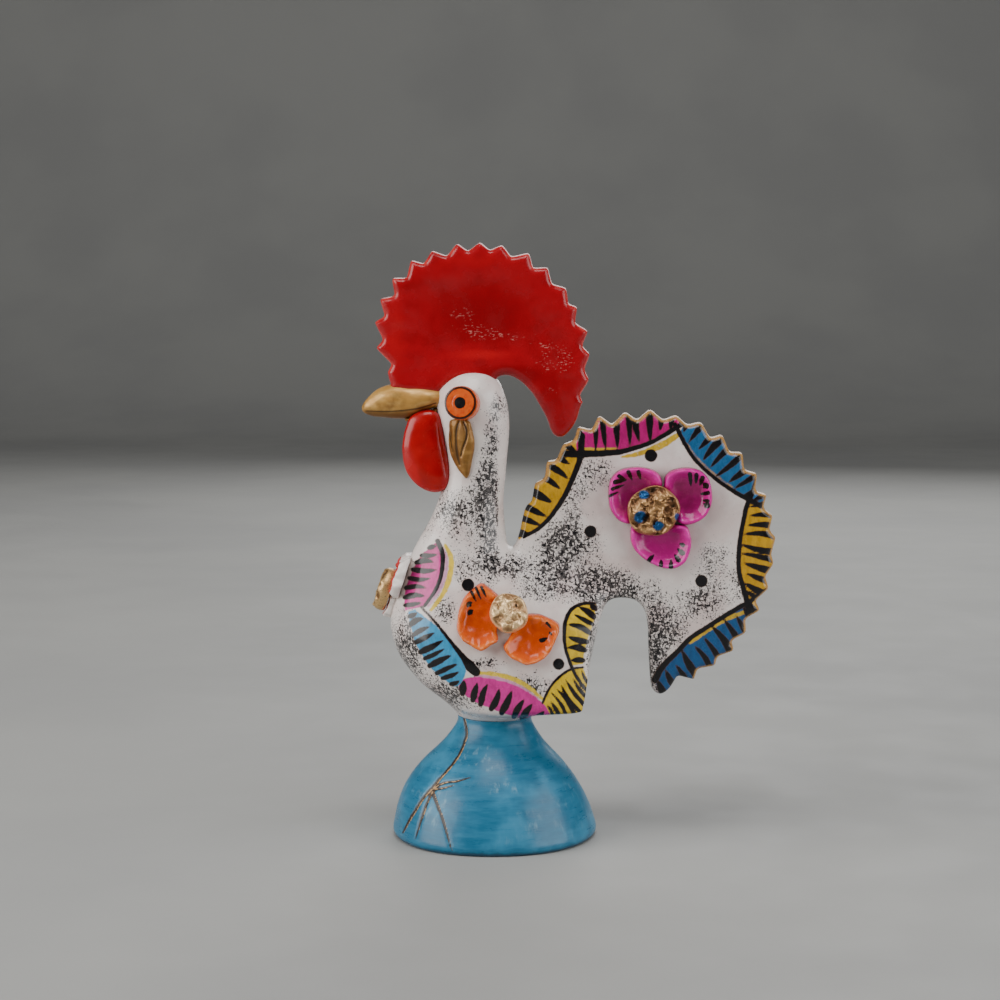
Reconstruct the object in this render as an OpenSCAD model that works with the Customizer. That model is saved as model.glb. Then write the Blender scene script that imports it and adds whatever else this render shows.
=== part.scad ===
// Painted clay rooster on a bell-shaped foot, hand-built from luted pieces.
// Millimetres, +Z up, beak towards -X, left side towards -Y.
// The origin is on the table, at the middle of the foot.

/* [Base] */
// Height of the foot, up to the neck that carries the trunk
base_h = 41; // [34:1:50]
// Radius of the foot on the table
base_r = 34.4; // [30:0.2:40]
// Radius of the foot's neck, where the trunk stands on it
base_neck_r = 12.5; // [11:0.5:15]
// Thickness of the foot's clay wall
base_wall = 4.5; // [3:0.5:6]

/* [Trunk, neck and head] */
// Width of the trunk across the wing edges
body_w = 49; // [42:1:56]
// Width of the neck at its narrowest
neck_w = 18.4; // [16:0.2:21]
// Width of the head at the eyes
head_w = 22; // [20:0.5:25]
// Thickness of the trunk's clay wall
body_wall = 4.5; // [3:0.5:5]

/* [Tail] */
// Thickness of the tail fan
tail_t = 7.2; // [5:0.2:9]
// Number of teeth along the tail's edge
tail_teeth = 22; // [18:1:26]
// Depth of the tail's teeth
tail_tooth = 4; // [2:0.5:5]
// Share of its size that the fan reaches out from its middle
tail_reach = 1; // [0.9:0.05:1.1]

/* [Comb] */
// Thickness of the comb
comb_t = 6.6; // [5:0.2:8]
// Number of teeth along the comb's edge
comb_teeth = 18; // [15:1:21]
// Depth of the comb's teeth
comb_tooth = 3.2; // [2:0.2:4]
// Share of its size that the comb reaches out from its middle
comb_reach = 1; // [0.9:0.05:1.1]

/* [Beak and wattles] */
// Length of the beak from the face to its tip
beak_l = 25.2; // [20:0.2:30]
// Width of the beak
beak_w = 10.8; // [9:0.2:12]
// Thickness of the lower beak
beak_low_t = 1.4; // [1:0.2:2]
// Thickness of each wattle
wattle_t = 6; // [5:0.5:7]
// Length of the wattles below the beak
wattle_l = 26.6; // [22:0.2:29]

/* [Eyes and ear lobes] */
// Diameter of the eye buttons
eye_d = 10.8; // [9:0.2:12]
// How far the eye buttons stand out
eye_h = 3; // [2.4:0.2:4]
// Thickness of the ear lobes
earlobe_t = 2.6; // [1.6:0.2:3.4]

/* [Flowers] */
// Thickness of the petals' floor
petal_floor = 1.8; // [1.2:0.2:2.4]
// Height of the petals' rim
petal_rim = 3.8; // [3:0.2:5]
// Diameter of the crumpled button on each wing
wing_button_d = 12; // [10:0.5:13]
// Diameter of the crumpled button on each side of the tail
tail_button_d = 16.4; // [14:0.4:18]
// Diameter of the crumpled button on the chest
chest_button_d = 14.4; // [12:0.4:16]
// Thickness of the crumpled buttons
button_t = 3.6; // [2.6:0.2:4.6]

/* [Hidden] */

// Layer of glue or slip between two pieces
joint = 0.2;

// Curves and tables

// Value at t between b and c of the smooth curve through a, b, c and d
function between(a, b, c, d, t) =
    b + 0.5 * t * (c - a + t * (2 * a - 5 * b + 4 * c - d + t * (3 * b - a - 3 * c + d)));
// Row k of a table, where k may lie between two rows
function row_at(rows, k) =
    let (last = len(rows) - 1, i = max(0, min(floor(k), last - 1)))
    between(rows[max(i - 1, 0)], rows[i], rows[i + 1], rows[min(i + 2, last)], k - i);
// Smooth curve through the rows, with a number of steps from each to the next
function smooth(rows, steps) = [for (j = [0:(len(rows) - 1) * steps]) row_at(rows, j / steps)];
// Where a rising first column reaches h, found by halving
function find_row(rows, h, low, high, turns = 14) =
    turns == 0 ? (low + high) / 2 :
    let (middle = (low + high) / 2)
    row_at(rows, middle)[0] < h ? find_row(rows, h, middle, high, turns - 1)
        : find_row(rows, h, low, middle, turns - 1);
// Row of a table at the height h
function row_for(rows, h) = row_at(rows, find_row(rows, h, 0, len(rows) - 1));
// Distance along a line of points, at each point
function lengths(p) =
    [for (i = 0, s = 0; i < len(p); s = s + (i + 1 < len(p) ? norm(p[i + 1] - p[i]) : 0), i = i + 1) s];
// Point at the share u of the way along a line of points
function along(p, s, u) =
    let (want = u * s[len(s) - 1], i = max([for (j = [0:len(p) - 2]) if (s[j] <= want) j]))
    p[i] + (p[i + 1] - p[i]) * (want - s[i]) / max(s[i + 1] - s[i], 0.001);
// A number of points evenly along the smooth curve through others
function spread(p, count) =
    let (fine = smooth(p, 6), s = lengths(fine)) [for (i = [0:count - 1]) along(fine, s, i / (count - 1))];
function mix(a, b, t) = a + (b - a) * t;
function ease(t) = let (c = max(0, min(1, t))) c * c * (3 - 2 * c);
function backwards(list) = [for (i = [len(list) - 1:-1:0]) list[i]];

// Solids from rings of points

// Six times the volume between each triangle and the origin
function six_volumes(p, faces) = [for (f = faces) p[f[0]] * cross(p[f[1]], p[f[2]])];
function total(list) = list * [for (v = list) 1];
// Triangles between rings of m points, with the first and last ring filled by fans
function ring_faces(count, m) = concat(
    [for (i = [0:count - 2], j = [0:m - 1]) let (a = i * m + j, b = i * m + (j + 1) % m)
        each [[a, b, a + m], [b, b + m, a + m]]],
    [for (j = [1:m - 2]) [0, j + 1, j]],
    [for (j = [1:m - 2]) let (a = (count - 1) * m) [a, a + j, a + j + 1]]);
// A closed solid from rings, whichever way round they run
module skin(rings) {
    points = [for (r = rings) each r];
    faces = ring_faces(len(rings), len(rings[0]));
    out = total(six_volumes(points, faces)) < 0;
    polyhedron(points, out ? faces : [for (f = faces) backwards(f)]);
}

// Outline of the trunk, neck and head
// Each row has: height above the foot, front, back, half width, where it is widest, half width of
// its rear edge, how far that edge lies before the back, squareness, and 1 for trunk or 0 for neck

half = body_w / 2;
neck = neck_w / 2;
head = head_w / 2;
// The saddle, a flat strip that carries the tail, falls from the nape to the rump
nape = [5.5, 56.6];
rump = [37, 37.5];
nape_half = 5.5;
rump_half = 8;
function saddle_x(h) = mix(rump[0], nape[0], (h - rump[1]) / (nape[1] - rump[1]));
ROWS = [
    [0, -base_neck_r, base_neck_r, base_neck_r, 0, 0.6 * base_neck_r, 2.5, 2, 0],
    [2.5, -14.2, 19, half - 7, 2, half - 10.5, 1, 2, 0.6],
    [4.5, -16.3, 25.5, half - 2, 5, half - 5, -4.5, 2, 1],
    [7, -19.2, 27, half - 0.3, 6, half - 4.5, -3.5, 2, 1],
    [11, -24.3, 29.8, half, 5, half - 5, -1, 2.1, 1],
    [16, -28.8, 31.8, half, 3, half - 6, 0.8, 2.25, 1],
    [22, -32.8, 33, half - 0.5, 0, half - 7, 1.8, 2.4, 1],
    [29, -35.1, 34.7, half - 1.9, -4, half - 8.5, 3, 2.4, 1],
    [34, -35.3, 35.8, half - 3.5, -6, half - 11.5, 2.2, 2.3, 1],
    [rump[1], -34.9, rump[0], half - 4.9, -7, rump_half, 0, 2.25, 1],
    [41, -34, saddle_x(41), half - 6.4, -8, mix(rump_half, nape_half, 0.18), 0, 2.2, 1],
    [45, -32.7, saddle_x(45), half - 8.1, -9, mix(rump_half, nape_half, 0.39), 0, 2.1, 1],
    [49.5, -30.8, saddle_x(49.5), half - 10.1, -10, mix(rump_half, nape_half, 0.63), 0, 2, 1],
    [53.5, -29, saddle_x(53.5), half - 11.8, -10.5, mix(rump_half, nape_half, 0.84), 0, 2, 1],
    [nape[1], -27.5, nape[0], neck + 2.6, -11, nape_half, 0, 2, 1],
    [59.5, -26, 4.3, neck + 2, -10.8, 6, 2, 2, 0.5],
    [63, -24, 3.7, neck + 1.4, -10, 6, 2, 2, 0],
    [69, -21, 3.2, neck + 0.7, -9, 6, 2, 2, 0],
    [75.5, -18.5, 3.1, neck + 0.1, -7.8, 6, 2, 2, 0],
    [82, -16.2, 3.7, neck, -6.6, 6, 2, 2, 0],
    [89, -15.6, 4.3, neck + 0.1, -6, 6, 2, 2, 0],
    [96, -16.6, 4.9, head - 0.9, -6.2, 6, 2, 2, 0],
    [102, -18.8, 4.8, head - 0.1, -7, 6, 2, 2, 0],
    [106.5, -19.5, 4.2, head, -7.6, 6, 2, 2, 0],
    [110.5, -18.9, 3, head - 0.8, -8, 6, 2, 2, 0],
    [113.5, -16.4, 1.8, head - 2.8, -8, 6, 2, 2, 0],
    [115.8, -13.2, -0.5, head - 5, -7.6, 6, 2, 2, 0],
    [117, -10.5, -3.5, head - 8.2, -7.2, 6, 2, 2, 0]];
FLANK_CURVE = 2;
RING = 32;
REAR_CORNER = 135;

// One point of a level ring, at the angle a round it from the front, 0 to 180
function ring_point(r, a) =
    let (
        reach = a < 90 ? r[4] - r[1] : r[2] - r[4],
        sq = a < 90 ? r[7] : 2,
        oval = [r[4] - reach * sign(cos(a)) * pow(abs(cos(a)), 2 / sq), -r[3] * pow(sin(a), 2 / sq)],
        t = (a - 90) / (REAR_CORNER - 90),
        corner = r[2] - r[6],
        flank = [mix(r[4], corner, t), mix(-r[3], -r[5], pow(max(t, 0), FLANK_CURVE))],
        e = (180 - a) / (180 - REAR_CORNER),
        rear = [r[2] - r[6] * e * e, -r[5] * e],
        trunk = a <= 90 ? oval : a <= REAR_CORNER ? flank : rear)
    mix(oval, trunk, r[8]);
// The row at a height, with its back on the flat saddle where the tail stands
function level(h) =
    let (r = row_for(ROWS, h), flat = h > rump[1] && h < nape[1])
    [for (i = [0:8]) i == 2 && flat ? saddle_x(h) : r[i]];
function ring(r, z) =
    [for (i = [0:RING - 1]) let (a = 360 * i / RING, p = ring_point(r, a <= 180 ? a : 360 - a))
        [p[0], a <= 180 ? p[1] : -p[1], z]];
// A level drawn in by the thickness of the wall
function inner(h) =
    let (r = level(h - body_wall * max(0, 1 - h / 25)), on_saddle = h > rump[1] && h < nape[1])
    [r[0], r[1] + 1.2 * body_wall, r[2] - (on_saddle ? 2.2 : 1.2) * body_wall, r[3] - body_wall, r[4],
        max(1.5, r[5] - body_wall), r[6], 2, r[8]];
// Half the thickness of the trunk, neck or head at x and h
function side(x, h) =
    let (
        r = level(h),
        front = pow(max(0, 1 - pow(max(0, (r[4] - x) / (r[4] - r[1])), r[7])), 1 / r[7]),
        back = sqrt(max(0, 1 - pow(max(0, (x - r[4]) / (r[2] - r[4])), 2))),
        corner = r[2] - r[6],
        flank = mix(r[3], r[5], pow(max(0, (x - r[4]) / (corner - r[4])), FLANK_CURVE)))
    x < r[4] ? r[3] * front : mix(r[3] * back, x > corner ? 0 : flank, r[8]);
// Front of the chest or face at y and h
function front(y, h) =
    let (r = level(h))
    r[4] - (r[4] - r[1]) * pow(max(0, 1 - pow(min(1, abs(y) / r[3]), r[7])), 1 / r[7]);

module body() {
    vent_r = base_neck_r - base_wall;
    vent = [for (z = [body_wall, 0]) [for (i = [0:RING - 1]) let (a = 360 * i / RING)
        [-vent_r * cos(a), -vent_r * sin(a), z]]];
    hollow = [for (h = [82, 76, 69, 62, 56.7, 50, 44, 38, 32, 26, 20, 14, 9.5]) ring(inner(h), h)];
    outside = [for (k = [0:0.5:len(ROWS) - 1]) let (h = row_at(ROWS, k)[0]) ring(level(h), h)];
    color("white") translate([0, 0, base_h]) skin(concat(hollow, vent, outside));
}

// The foot: a bell with an even wall, open below and above

// Share of the way out and up for each point of the bell, from its neck down to its rim
BELL = [[0, 1], [0.025, 0.93], [0.2, 0.78], [0.5, 0.6], [0.72, 0.435], [0.885, 0.262], [0.985, 0.1],
    [1, 0.045], [0.975, 0.012], [0.935, 0]];
function bell(p) = [mix(base_neck_r, base_r, p[0]), base_h * p[1]];
// Points moved in by the wall, square to the line that they lie on
function drawn_in(p, wall) =
    [for (i = [0:len(p) - 1]) let (d = p[min(i + 1, len(p) - 1)] - p[max(i - 1, 0)])
        p[i] + wall * [d[1], -d[0]] / norm(d)];
module base() {
    wall_line = smooth([for (i = [0:6]) bell(BELL[i])], 4);
    rim_line = smooth([for (i = [6:9]) bell(BELL[i])], 3);
    hollow = [for (p = drawn_in(wall_line, base_wall)) if (p[1] > 1 && p[1] < base_h - 1) p];
    foot_in = hollow[len(hollow) - 1][0] + 0.3;
    outline = concat(wall_line, [for (i = [1:len(rim_line) - 1]) rim_line[i]], [[foot_in, 0]],
        backwards(hollow), [[base_neck_r - base_wall, base_h]]);
    color("skyblue") rotate_extrude($fn = 96) polygon(outline);
}

// Toothed slabs: the tail and the comb

// A slab of clay between an outer and an inner line in the middle plane, rounded over both edges.
// Where the inner edge is seated, it ends flat, at the half thickness root instead of rounded
EDGE_R = 2.6;
function slab_loop(a, b, edge, middle, root, seated) =
    let (
        long = norm(b - a),
        r = min(EDGE_R, 0.3 * long),
        swell = root - middle,
        stations = seated ?
            [[0, 0], [0.25 * r, 0.66 * edge], [r, edge], [0.2 * long, middle], [0.62 * long, middle],
                [0.84 * long, middle + 0.06 * swell], [0.94 * long, middle + 0.5 * swell],
                [long, root], [long, 0]] :
            [[0, 0], [0.25 * r, 0.66 * edge], [r, edge], [max(r * 1.1, 0.2 * long), middle],
                [0.5 * long, middle], [min(long - 1.1 * r, 0.8 * long), middle], [long - r, edge],
                [long - 0.25 * r, 0.66 * edge], [long, 0]],
        near = [for (s = stations) let (p = mix(a, b, s[0] / long)) [p[0], -s[1], p[1]]],
        far = [for (i = [7:-1:1]) let (p = near[i]) [p[0], -p[1], p[2]]])
    concat(near, far);
// Teeth round a middle: points at five places of each tooth, from the first tip to the last
TOOTH = [[-0.5, 0], [-0.25, 0.5], [-0.1, 0.93], [0.1, 0.93], [0.25, 0.5]];
function toothed(centre, radii, tips, count, depth, reach) =
    [for (i = [0:count - 1], t = TOOTH)
        let (
            k = (i + t[0]) / (count - 1) * (len(tips) - 1),
            a = row_at(tips, max(-0.2, min(len(tips) - 1 + 0.2, k)))[0],
            r = lookup(-a, [for (q = radii) [-q[0], q[1]]]) * reach - depth * (1 - t[1]))
        centre + r * [cos(a), sin(a)]];

// The tail fan
TAIL_MIDDLE = [51.5, 58];
// Radius of the tooth tips at each angle, from the first tooth over the top to the last
TAIL_RADII = [[160, 43], [150, 43.6], [135, 45.4], [120, 47], [100, 46.8], [89, 46.6], [57, 45.6],
    [24, 44.2], [4, 43.8], [-19, 44], [-41, 44.8], [-55, 46.4], [-70, 48.6], [-80, 48]];
TAIL_TIPS = [[150.4], [98], [45.2], [-8], [-70.3]];
// Edge from the nape to the first tooth, and round the fan's low end
TAIL_FRONT = [[6.6, 57.6], [7.8, 60], [8.7, 63], [9.4, 67], [10.8, 71]];
TAIL_LOW = [[60.6, 11.2], [59.4, 9.2], [57.6, 7.7], [56, 7.3]];
TAIL_ARCH = [[37.8, 39], [40, 40], [43.5, 40.4], [47, 39.8], [49.8, 37.8], [51.4, 34.6], [52, 30],
    [52.1, 25], [52.4, 19], [52.8, 13], [53.2, 10], [54.2, 8.3]];
SEATED_LOOPS = 60;
module tail() {
    teeth = toothed(TAIL_MIDDLE, TAIL_RADII, TAIL_TIPS, tail_teeth, tail_tooth, tail_reach);
    outer = concat(TAIL_FRONT, teeth, TAIL_LOW);
    lift = joint * [rump[1] - nape[1], nape[0] - rump[0]] / norm(nape - rump);
    seated = min(SEATED_LOOPS, len(outer) - 12);
    seat = [for (i = [0:seated]) mix(mix(nape, rump, 0.01), rump, i / seated) - lift];
    arch = spread(TAIL_ARCH, len(outer) - len(seat));
    inner_line = concat(seat, arch);
    loops = [for (i = [0:len(outer) - 1])
        let (on = i <= seated, ending = ease((len(outer) - 1 - i) / 5))
        slab_loop(outer[i], inner_line[i], mix(1.2, tail_t / 2 - 0.4, ending),
            mix(1.4, tail_t / 2, ending), mix(nape_half, rump_half, i / seated), on)];
    color("whitesmoke") translate([0, 0, base_h]) skin(loops);
}
function tail_side() = tail_t / 2;

// The comb, seated on the beak and along the crown
COMB_MIDDLE = [-5, 127];
COMB_RADII = [[210, 31], [198, 32.4], [183, 34.9], [169, 36.2], [157, 36.4], [144, 36.3], [130, 35.7],
    [117, 34.6], [103, 33.9], [90, 33.5], [77, 33.2], [61, 34], [48, 33.8], [32, 34.1], [20, 34.6],
    [6, 36.5], [-6, 37.2], [-19, 38.8], [-30, 40.1], [-45, 41]];
COMB_TIPS = [[198.2], [144], [89.8], [34], [-30]];
COMB_START = [-35, 114.8];
COMB_LOW = [[27.6, 102.4], [26.6, 99.6], [25, 96.8], [23, 95.3]];
COMB_SEAT = [[-34.4, 113.9], [-31.5, 113.4], [-27.5, 113], [-23.5, 112.7], [-20.3, 112.4],
    [-18.4, 113.3], [-15.9, 115.3], [-13.1, 116.7], [-10.4, 117.4], [-7, 117.5], [-3.6, 117.3],
    [-0.4, 116.2], [1.2, 115.7]];
COMB_ARCH = [[2.6, 116], [5.2, 115.7], [8.2, 114.3], [10.6, 112], [12.9, 109.2], [15, 105.6],
    [16.8, 102], [18.2, 98.4], [20, 95.9]];
COMB_SEATED = 0.62;
module comb() {
    teeth = toothed(COMB_MIDDLE, COMB_RADII, COMB_TIPS, comb_teeth, comb_tooth, comb_reach);
    outer = concat([COMB_START], teeth, COMB_LOW);
    seated = floor(COMB_SEATED * len(outer));
    seat = spread(COMB_SEAT, seated + 1);
    arch = spread(COMB_ARCH, len(outer) - len(seat));
    inner_line = concat(seat, arch);
    loops = [for (i = [0:len(outer) - 1])
        let (
            ends = min(1, (i + 1) / 3) * ease((len(outer) - i) / 5),
            thick = comb_t / 2 * mix(0.45, 1, ends))
        slab_loop(outer[i], inner_line[i] + [0, joint], thick - 0.3, thick, thick, i <= seated)];
    color("red") translate([0, 0, base_h]) skin(loops);
}

// The beak: rings along its length, the first one against the face

FACE_H = 108;
// Share of the length, top, bottom and share of the width of the upper beak
BEAK = [[0, 111.3, 105.2, 0.8], [0.18, 112.1, 103.8, 1], [0.4, 112.6, 101.5, 1], [0.6, 113.1, 101.4, 0.9],
    [0.75, 111.8, 101.7, 0.74], [0.87, 109.8, 102.2, 0.56], [0.95, 107.5, 102.9, 0.36],
    [1, 105.7, 103.7, 0.12]];
// One ring of a beak, at a share of the way from the surface of the face to the tip
function beak_ring(share, tip, top, low, wide, size = 1) =
    [for (i = [0:13]) let (
            a = 360 * i / 14,
            y = size * wide * sin(a),
            h = (top + low) / 2 + size * (top - low) / 2 * cos(a))
        [mix(front(y, h) - joint, tip, share), y, h]];
ROOT_SIZES = [0.3, 0.65];
module beak_upper() {
    tip = front(0, FACE_H) - joint - beak_l;
    rows = smooth(BEAK, 2);
    root = [for (s = ROOT_SIZES) beak_ring(0, tip, BEAK[0][1], BEAK[0][2], beak_w / 2 * BEAK[0][3], s)];
    rings = [for (b = rows) beak_ring(b[0], tip, b[1], b[2], beak_w / 2 * b[3])];
    color("goldenrod") translate([0, 0, base_h]) skin(concat(root, rings));
}
// Share of the length, top, and shares of the width and the thickness of the lower beak
BEAK_LOW = [[0, 104.9, 0.5, 0.8], [0.3, 103.7, 0.8, 1], [0.6, 102.4, 0.8, 0.9], [0.85, 101.5, 0.6, 0.7],
    [1, 101.2, 0.3, 0.5]];
LOWER_SHARE = 0.42;
module beak_lower() {
    tip = front(0, FACE_H) - LOWER_SHARE * beak_l;
    function lower_ring(b, size) =
        let (top = b[1] - joint)
        beak_ring(b[0], tip, top, top - beak_low_t * b[3], beak_w / 2 * b[2], size);
    root = [for (s = ROOT_SIZES) lower_ring(BEAK_LOW[0], s)];
    rings = [for (b = smooth(BEAK_LOW, 2)) lower_ring(b, 1)];
    color("darkgoldenrod") translate([0, 0, base_h]) skin(concat(root, rings));
}

// The wattles: a fat drop at each side of the throat

WATTLE_TOP = 104.4;
// A wattle moves out over LAP_EASE, up to LAP_RISE over the beak's underside, to lie beside the beak
LAP_EASE = 2.5;
LAP_RISE = 1.2;
LAP_GAP = 0.324;
// How far the back of a wattle lies off the throat
THROAT_GAP = 1.2;
function beak_underside() = min([for (b = BEAK_LOW) b[1] - joint - beak_low_t * b[3]]);
function beak_low_half() = beak_w / 2 * max([for (b = BEAK_LOW) b[2]]);
// Share of the length, front edge, rear edge and share of the thickness
WATTLE = [[0, -23.6, -20.6, 0.35], [0.07, -27.2, -19, 0.7], [0.2, -30.1, -17.8, 0.95],
    [0.4, -31.1, -17.3, 1], [0.6, -30.6, -16.1, 1], [0.76, -28.9, -15.1, 0.95],
    [0.88, -26.4, -15, 0.85], [0.96, -23.4, -16.2, 0.6], [1, -21, -18.2, 0.3]];
module wattle() {
    rings = [for (w = smooth(WATTLE, 2))
        let (
            h = WATTLE_TOP - w[0] * wattle_l,
            thick = wattle_t * w[3],
            lap_h = beak_underside() + LAP_RISE,
            beside = ease((h - lap_h + LAP_EASE) / LAP_EASE) * (beak_low_half() + LAP_GAP),
            inner_y = max((wattle_t - thick) / 2, beside))
        [for (i = [0:13]) let (
                a = 360 * i / 14,
                x = (w[1] + w[2]) / 2 - (w[2] - w[1]) / 2 * cos(a),
                y = inner_y + thick / 2 * (1 + sin(a)),
                throat = side(x, h))
            [x, -joint - max(y, throat > 0 ? throat + joint + (sin(a) > 0 ? THROAT_GAP : 0) : 0), h]]];
    color("firebrick") translate([0, 0, base_h]) skin(rings);
}

// The eyes: round buttons with a hollow back that sits on the head

EYE = [-11.4, 107.4];
EYE_TILT = 8;
EYE_TURN = -14;
EYE_SEAT = 2.2;
module eye() {
    r = eye_d / 2;
    seat_r = head * EYE_SEAT;
    back = [for (i = [0:6]) let (x = r * i / 6) [x, sqrt(seat_r * seat_r - x * x) - seat_r]];
    face = [[r, 0.55 * eye_h], [r - 0.25, eye_h - 0.45], [r - 0.9, eye_h], [r * 0.5, eye_h + 0.35],
        [0, eye_h + 0.45]];
    color("darkorange") translate([EYE[0], -side(EYE[0], EYE[1]) - joint, base_h + EYE[1]])
        rotate([90 - EYE_TILT, 0, EYE_TURN]) rotate_extrude($fn = 64) polygon(concat(back, face));
}

// Pads: petals and ear lobes, with an outline in the plane and a thickness over it

PAD = 18;
function flank_place(p, t) = [p[0], -side(p[0], p[1]) - joint - t, p[1]];
function tail_place(p, t) = [p[0], -tail_side() - joint - t, p[1]];
// The chest flower lies in a leaning plane that touches the chest in the middle only
function chest_plane(h) = front(0, CHEST_FLOWER[1]) + CHEST_STAND + CHEST_LEAN * (h - CHEST_FLOWER[1]);
function chest_place(p, t) = [min(front(p[0], p[1]) - joint, chest_plane(p[1])) - t, p[0], p[1]];
function place(kind, p, t) =
    kind == "tail" ? tail_place(p, t) : kind == "chest" ? chest_place(p, t) : flank_place(p, t);
// Outline through hand-set points, closed, at even steps
function closed_outline(p) =
    let (fine = smooth(concat(p, [p[0]]), 5), s = lengths(fine))
    [for (i = [0:PAD - 1]) along(fine, s, i / PAD)];
// Shares of the way out, and the height there as shares of the floor and of the rim
CUP = [[1, 0.2, 0.35], [0.97, 0.1, 0.85], [0.88, 0, 1], [0.72, 0.6, 0.4], [0.4, 1, 0], [0.05, 1, 0]];
LEAF = [[1, 0, 0.3], [0.93, 0, 0.6], [0.7, 0, 0.9], [0.4, 0, 1], [0.05, 0, 1]];
// The rim leaves room for a button at the point button_at, and rises beyond the radius clear_r
RIM_RISE = 2.5;
RIM_GAP = 1;
TAIL_RIM_GAP = 2.1;
module pad(kind, outline, middle, profile, floor_t, rim_t, button_at = [0, 0], clear_r = -RIM_RISE) {
    under = [for (s = [0.05, 0.4, 0.72, 1]) [for (q = outline) place(kind, mix(middle, q, s), 0)]];
    over = [for (c = profile) [for (q = outline)
        let (p = mix(middle, q, c[0]), up = ease((norm(p - button_at) - clear_r) / RIM_RISE))
        place(kind, p, max(c[1] * floor_t + c[2] * mix(floor_t, rim_t, up), 0.4 * floor_t))]];
    skin(concat(under, over));
}

EARLOBE = [[-12, 101], [-14.6, 100.4], [-15.4, 96.5], [-15.5, 93], [-14.9, 89.6], [-13.4, 86],
    [-11.6, 83], [-9.7, 81.2], [-8.5, 84], [-7.6, 88], [-7, 92], [-7.2, 96], [-8.4, 100.2]];
module earlobe() color("peru") translate([0, 0, base_h])
    pad("flank", closed_outline(EARLOBE), [-11.2, 92], LEAF, 0, earlobe_t);

// The wing flowers
WING_FRONT = [[-2.8, 47.6], [-6.8, 47.7], [-10.2, 45.6], [-12.2, 41], [-12.7, 36], [-12.2, 31.4],
    [-9.4, 28], [-5.2, 26.2], [-1.6, 27], [1.2, 28.6], [1.4, 34], [1.5, 40], [0, 44]];
WING_REAR = [[9.4, 38.4], [13.2, 38.4], [17.6, 37.4], [20.6, 35.6], [21.3, 33], [20.4, 28.6], [18, 24],
    [14.8, 21.8], [10.9, 21.2], [6.8, 22.6], [3.8, 25.4], [2.4, 28.4], [2.3, 32], [2.2, 38]];
WING_MIDDLE = [4.1, 37.6];
module wing_petal(outline, middle) color("orangered") translate([0, 0, base_h])
    pad("flank", closed_outline(outline), middle, CUP, petal_floor, petal_rim, WING_MIDDLE,
        wing_button_d / 2 + RIM_GAP);
module wing_petal_front() wing_petal(WING_FRONT, [-4.6, 37]);
module wing_petal_rear() wing_petal(WING_REAR, [11, 30.5]);

// A flower of three pressed petals round a middle, each a share of a turn wide
PETAL_APART = 57.5;
function petal_outline(middle, out, r, aim) =
    let (arc = [for (i = [0:PAD - 3]) let (
            a = mix(-PETAL_APART, PETAL_APART, i / (PAD - 3)),
            d = out * cos(a) + sqrt(r * r - pow(out * sin(a), 2)))
        middle + d * [cos(aim + a), sin(aim + a)]])
    concat([middle + 1.2 * [cos(aim), sin(aim)], middle + 2.6 * [cos(aim - 50), sin(aim - 50)]], arc);

TAIL_FLOWER = [55.9, 70.4];
TAIL_BUTTON = [53.7, 70.7];
TAIL_PETAL_R = 9.4;
TAIL_PETAL_OUT = 9.1;
// Where each petal points, from the tail's end round over the top
FRONT_AIM = 148;
REAR_AIM = 30;
LOW_AIM = 270;
module tail_petal(aim) color("deeppink") translate([0, 0, base_h])
    pad("tail", petal_outline(TAIL_FLOWER, TAIL_PETAL_OUT, TAIL_PETAL_R, aim),
        TAIL_FLOWER + TAIL_PETAL_OUT * [cos(aim), sin(aim)], CUP, petal_floor, petal_rim,
        TAIL_BUTTON, tail_button_d / 2 + TAIL_RIM_GAP);

CHEST_FLOWER = [0, 44.5];
CHEST_BUTTON = [0, 42.8];
CHEST_PETAL_R = 7;
CHEST_PETAL_OUT = 6;
CHEST_STAND = 1.2;
CHEST_LEAN = 0.33;
CHEST_AIM = 148;
LOW_SHARE = 0.83;
module chest_petal(aim, share = 1) color("crimson") translate([0, 0, base_h])
    pad("chest", petal_outline(CHEST_FLOWER, CHEST_PETAL_OUT * share, CHEST_PETAL_R * share, aim),
        CHEST_FLOWER + CHEST_PETAL_OUT * share * [cos(aim), sin(aim)], CUP, petal_floor, petal_rim,
        CHEST_BUTTON, chest_button_d / 2 + RIM_GAP);

// A round pellet with a soft edge, lying with its back on z = 0
module button(d, t) {
    r = d / 2;
    edge = [[r - 0.8, 0], [r, 0.8], [r, t - 1], [r - 0.9, t]];
    rotate_extrude($fn = 64) polygon(concat([[0, 0]], edge, [[0, t + 0.3]]));
}
// Slope of the flank under the wing button, up and towards the tail
FLANK_TILT = 21.5;
FLANK_TURN = 7.5;
BUTTON_LIFT = 0.3;
module wing_button() color("gold") translate([WING_MIDDLE[0],
        -side(WING_MIDDLE[0], WING_MIDDLE[1]), base_h + WING_MIDDLE[1]])
    rotate([90 - FLANK_TILT, 0, FLANK_TURN])
    translate([0, 0, petal_floor + 2 * joint + BUTTON_LIFT]) button(wing_button_d, button_t);
module tail_button() color("gold")
    translate([TAIL_BUTTON[0], -tail_side() - 2 * joint - petal_floor - BUTTON_LIFT,
        base_h + TAIL_BUTTON[1]])
    rotate([90, 0, 0]) button(tail_button_d, button_t);
module chest_button() color("gold")
    translate([chest_place(CHEST_BUTTON, 0)[0], 0, base_h + CHEST_BUTTON[1]])
    rotate([0, -90 + atan(CHEST_LEAN), 0])
    translate([0, 0, petal_floor + joint + BUTTON_LIFT]) button(chest_button_d, button_t);

module other_side() mirror([0, 1, 0]) children();

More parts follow.
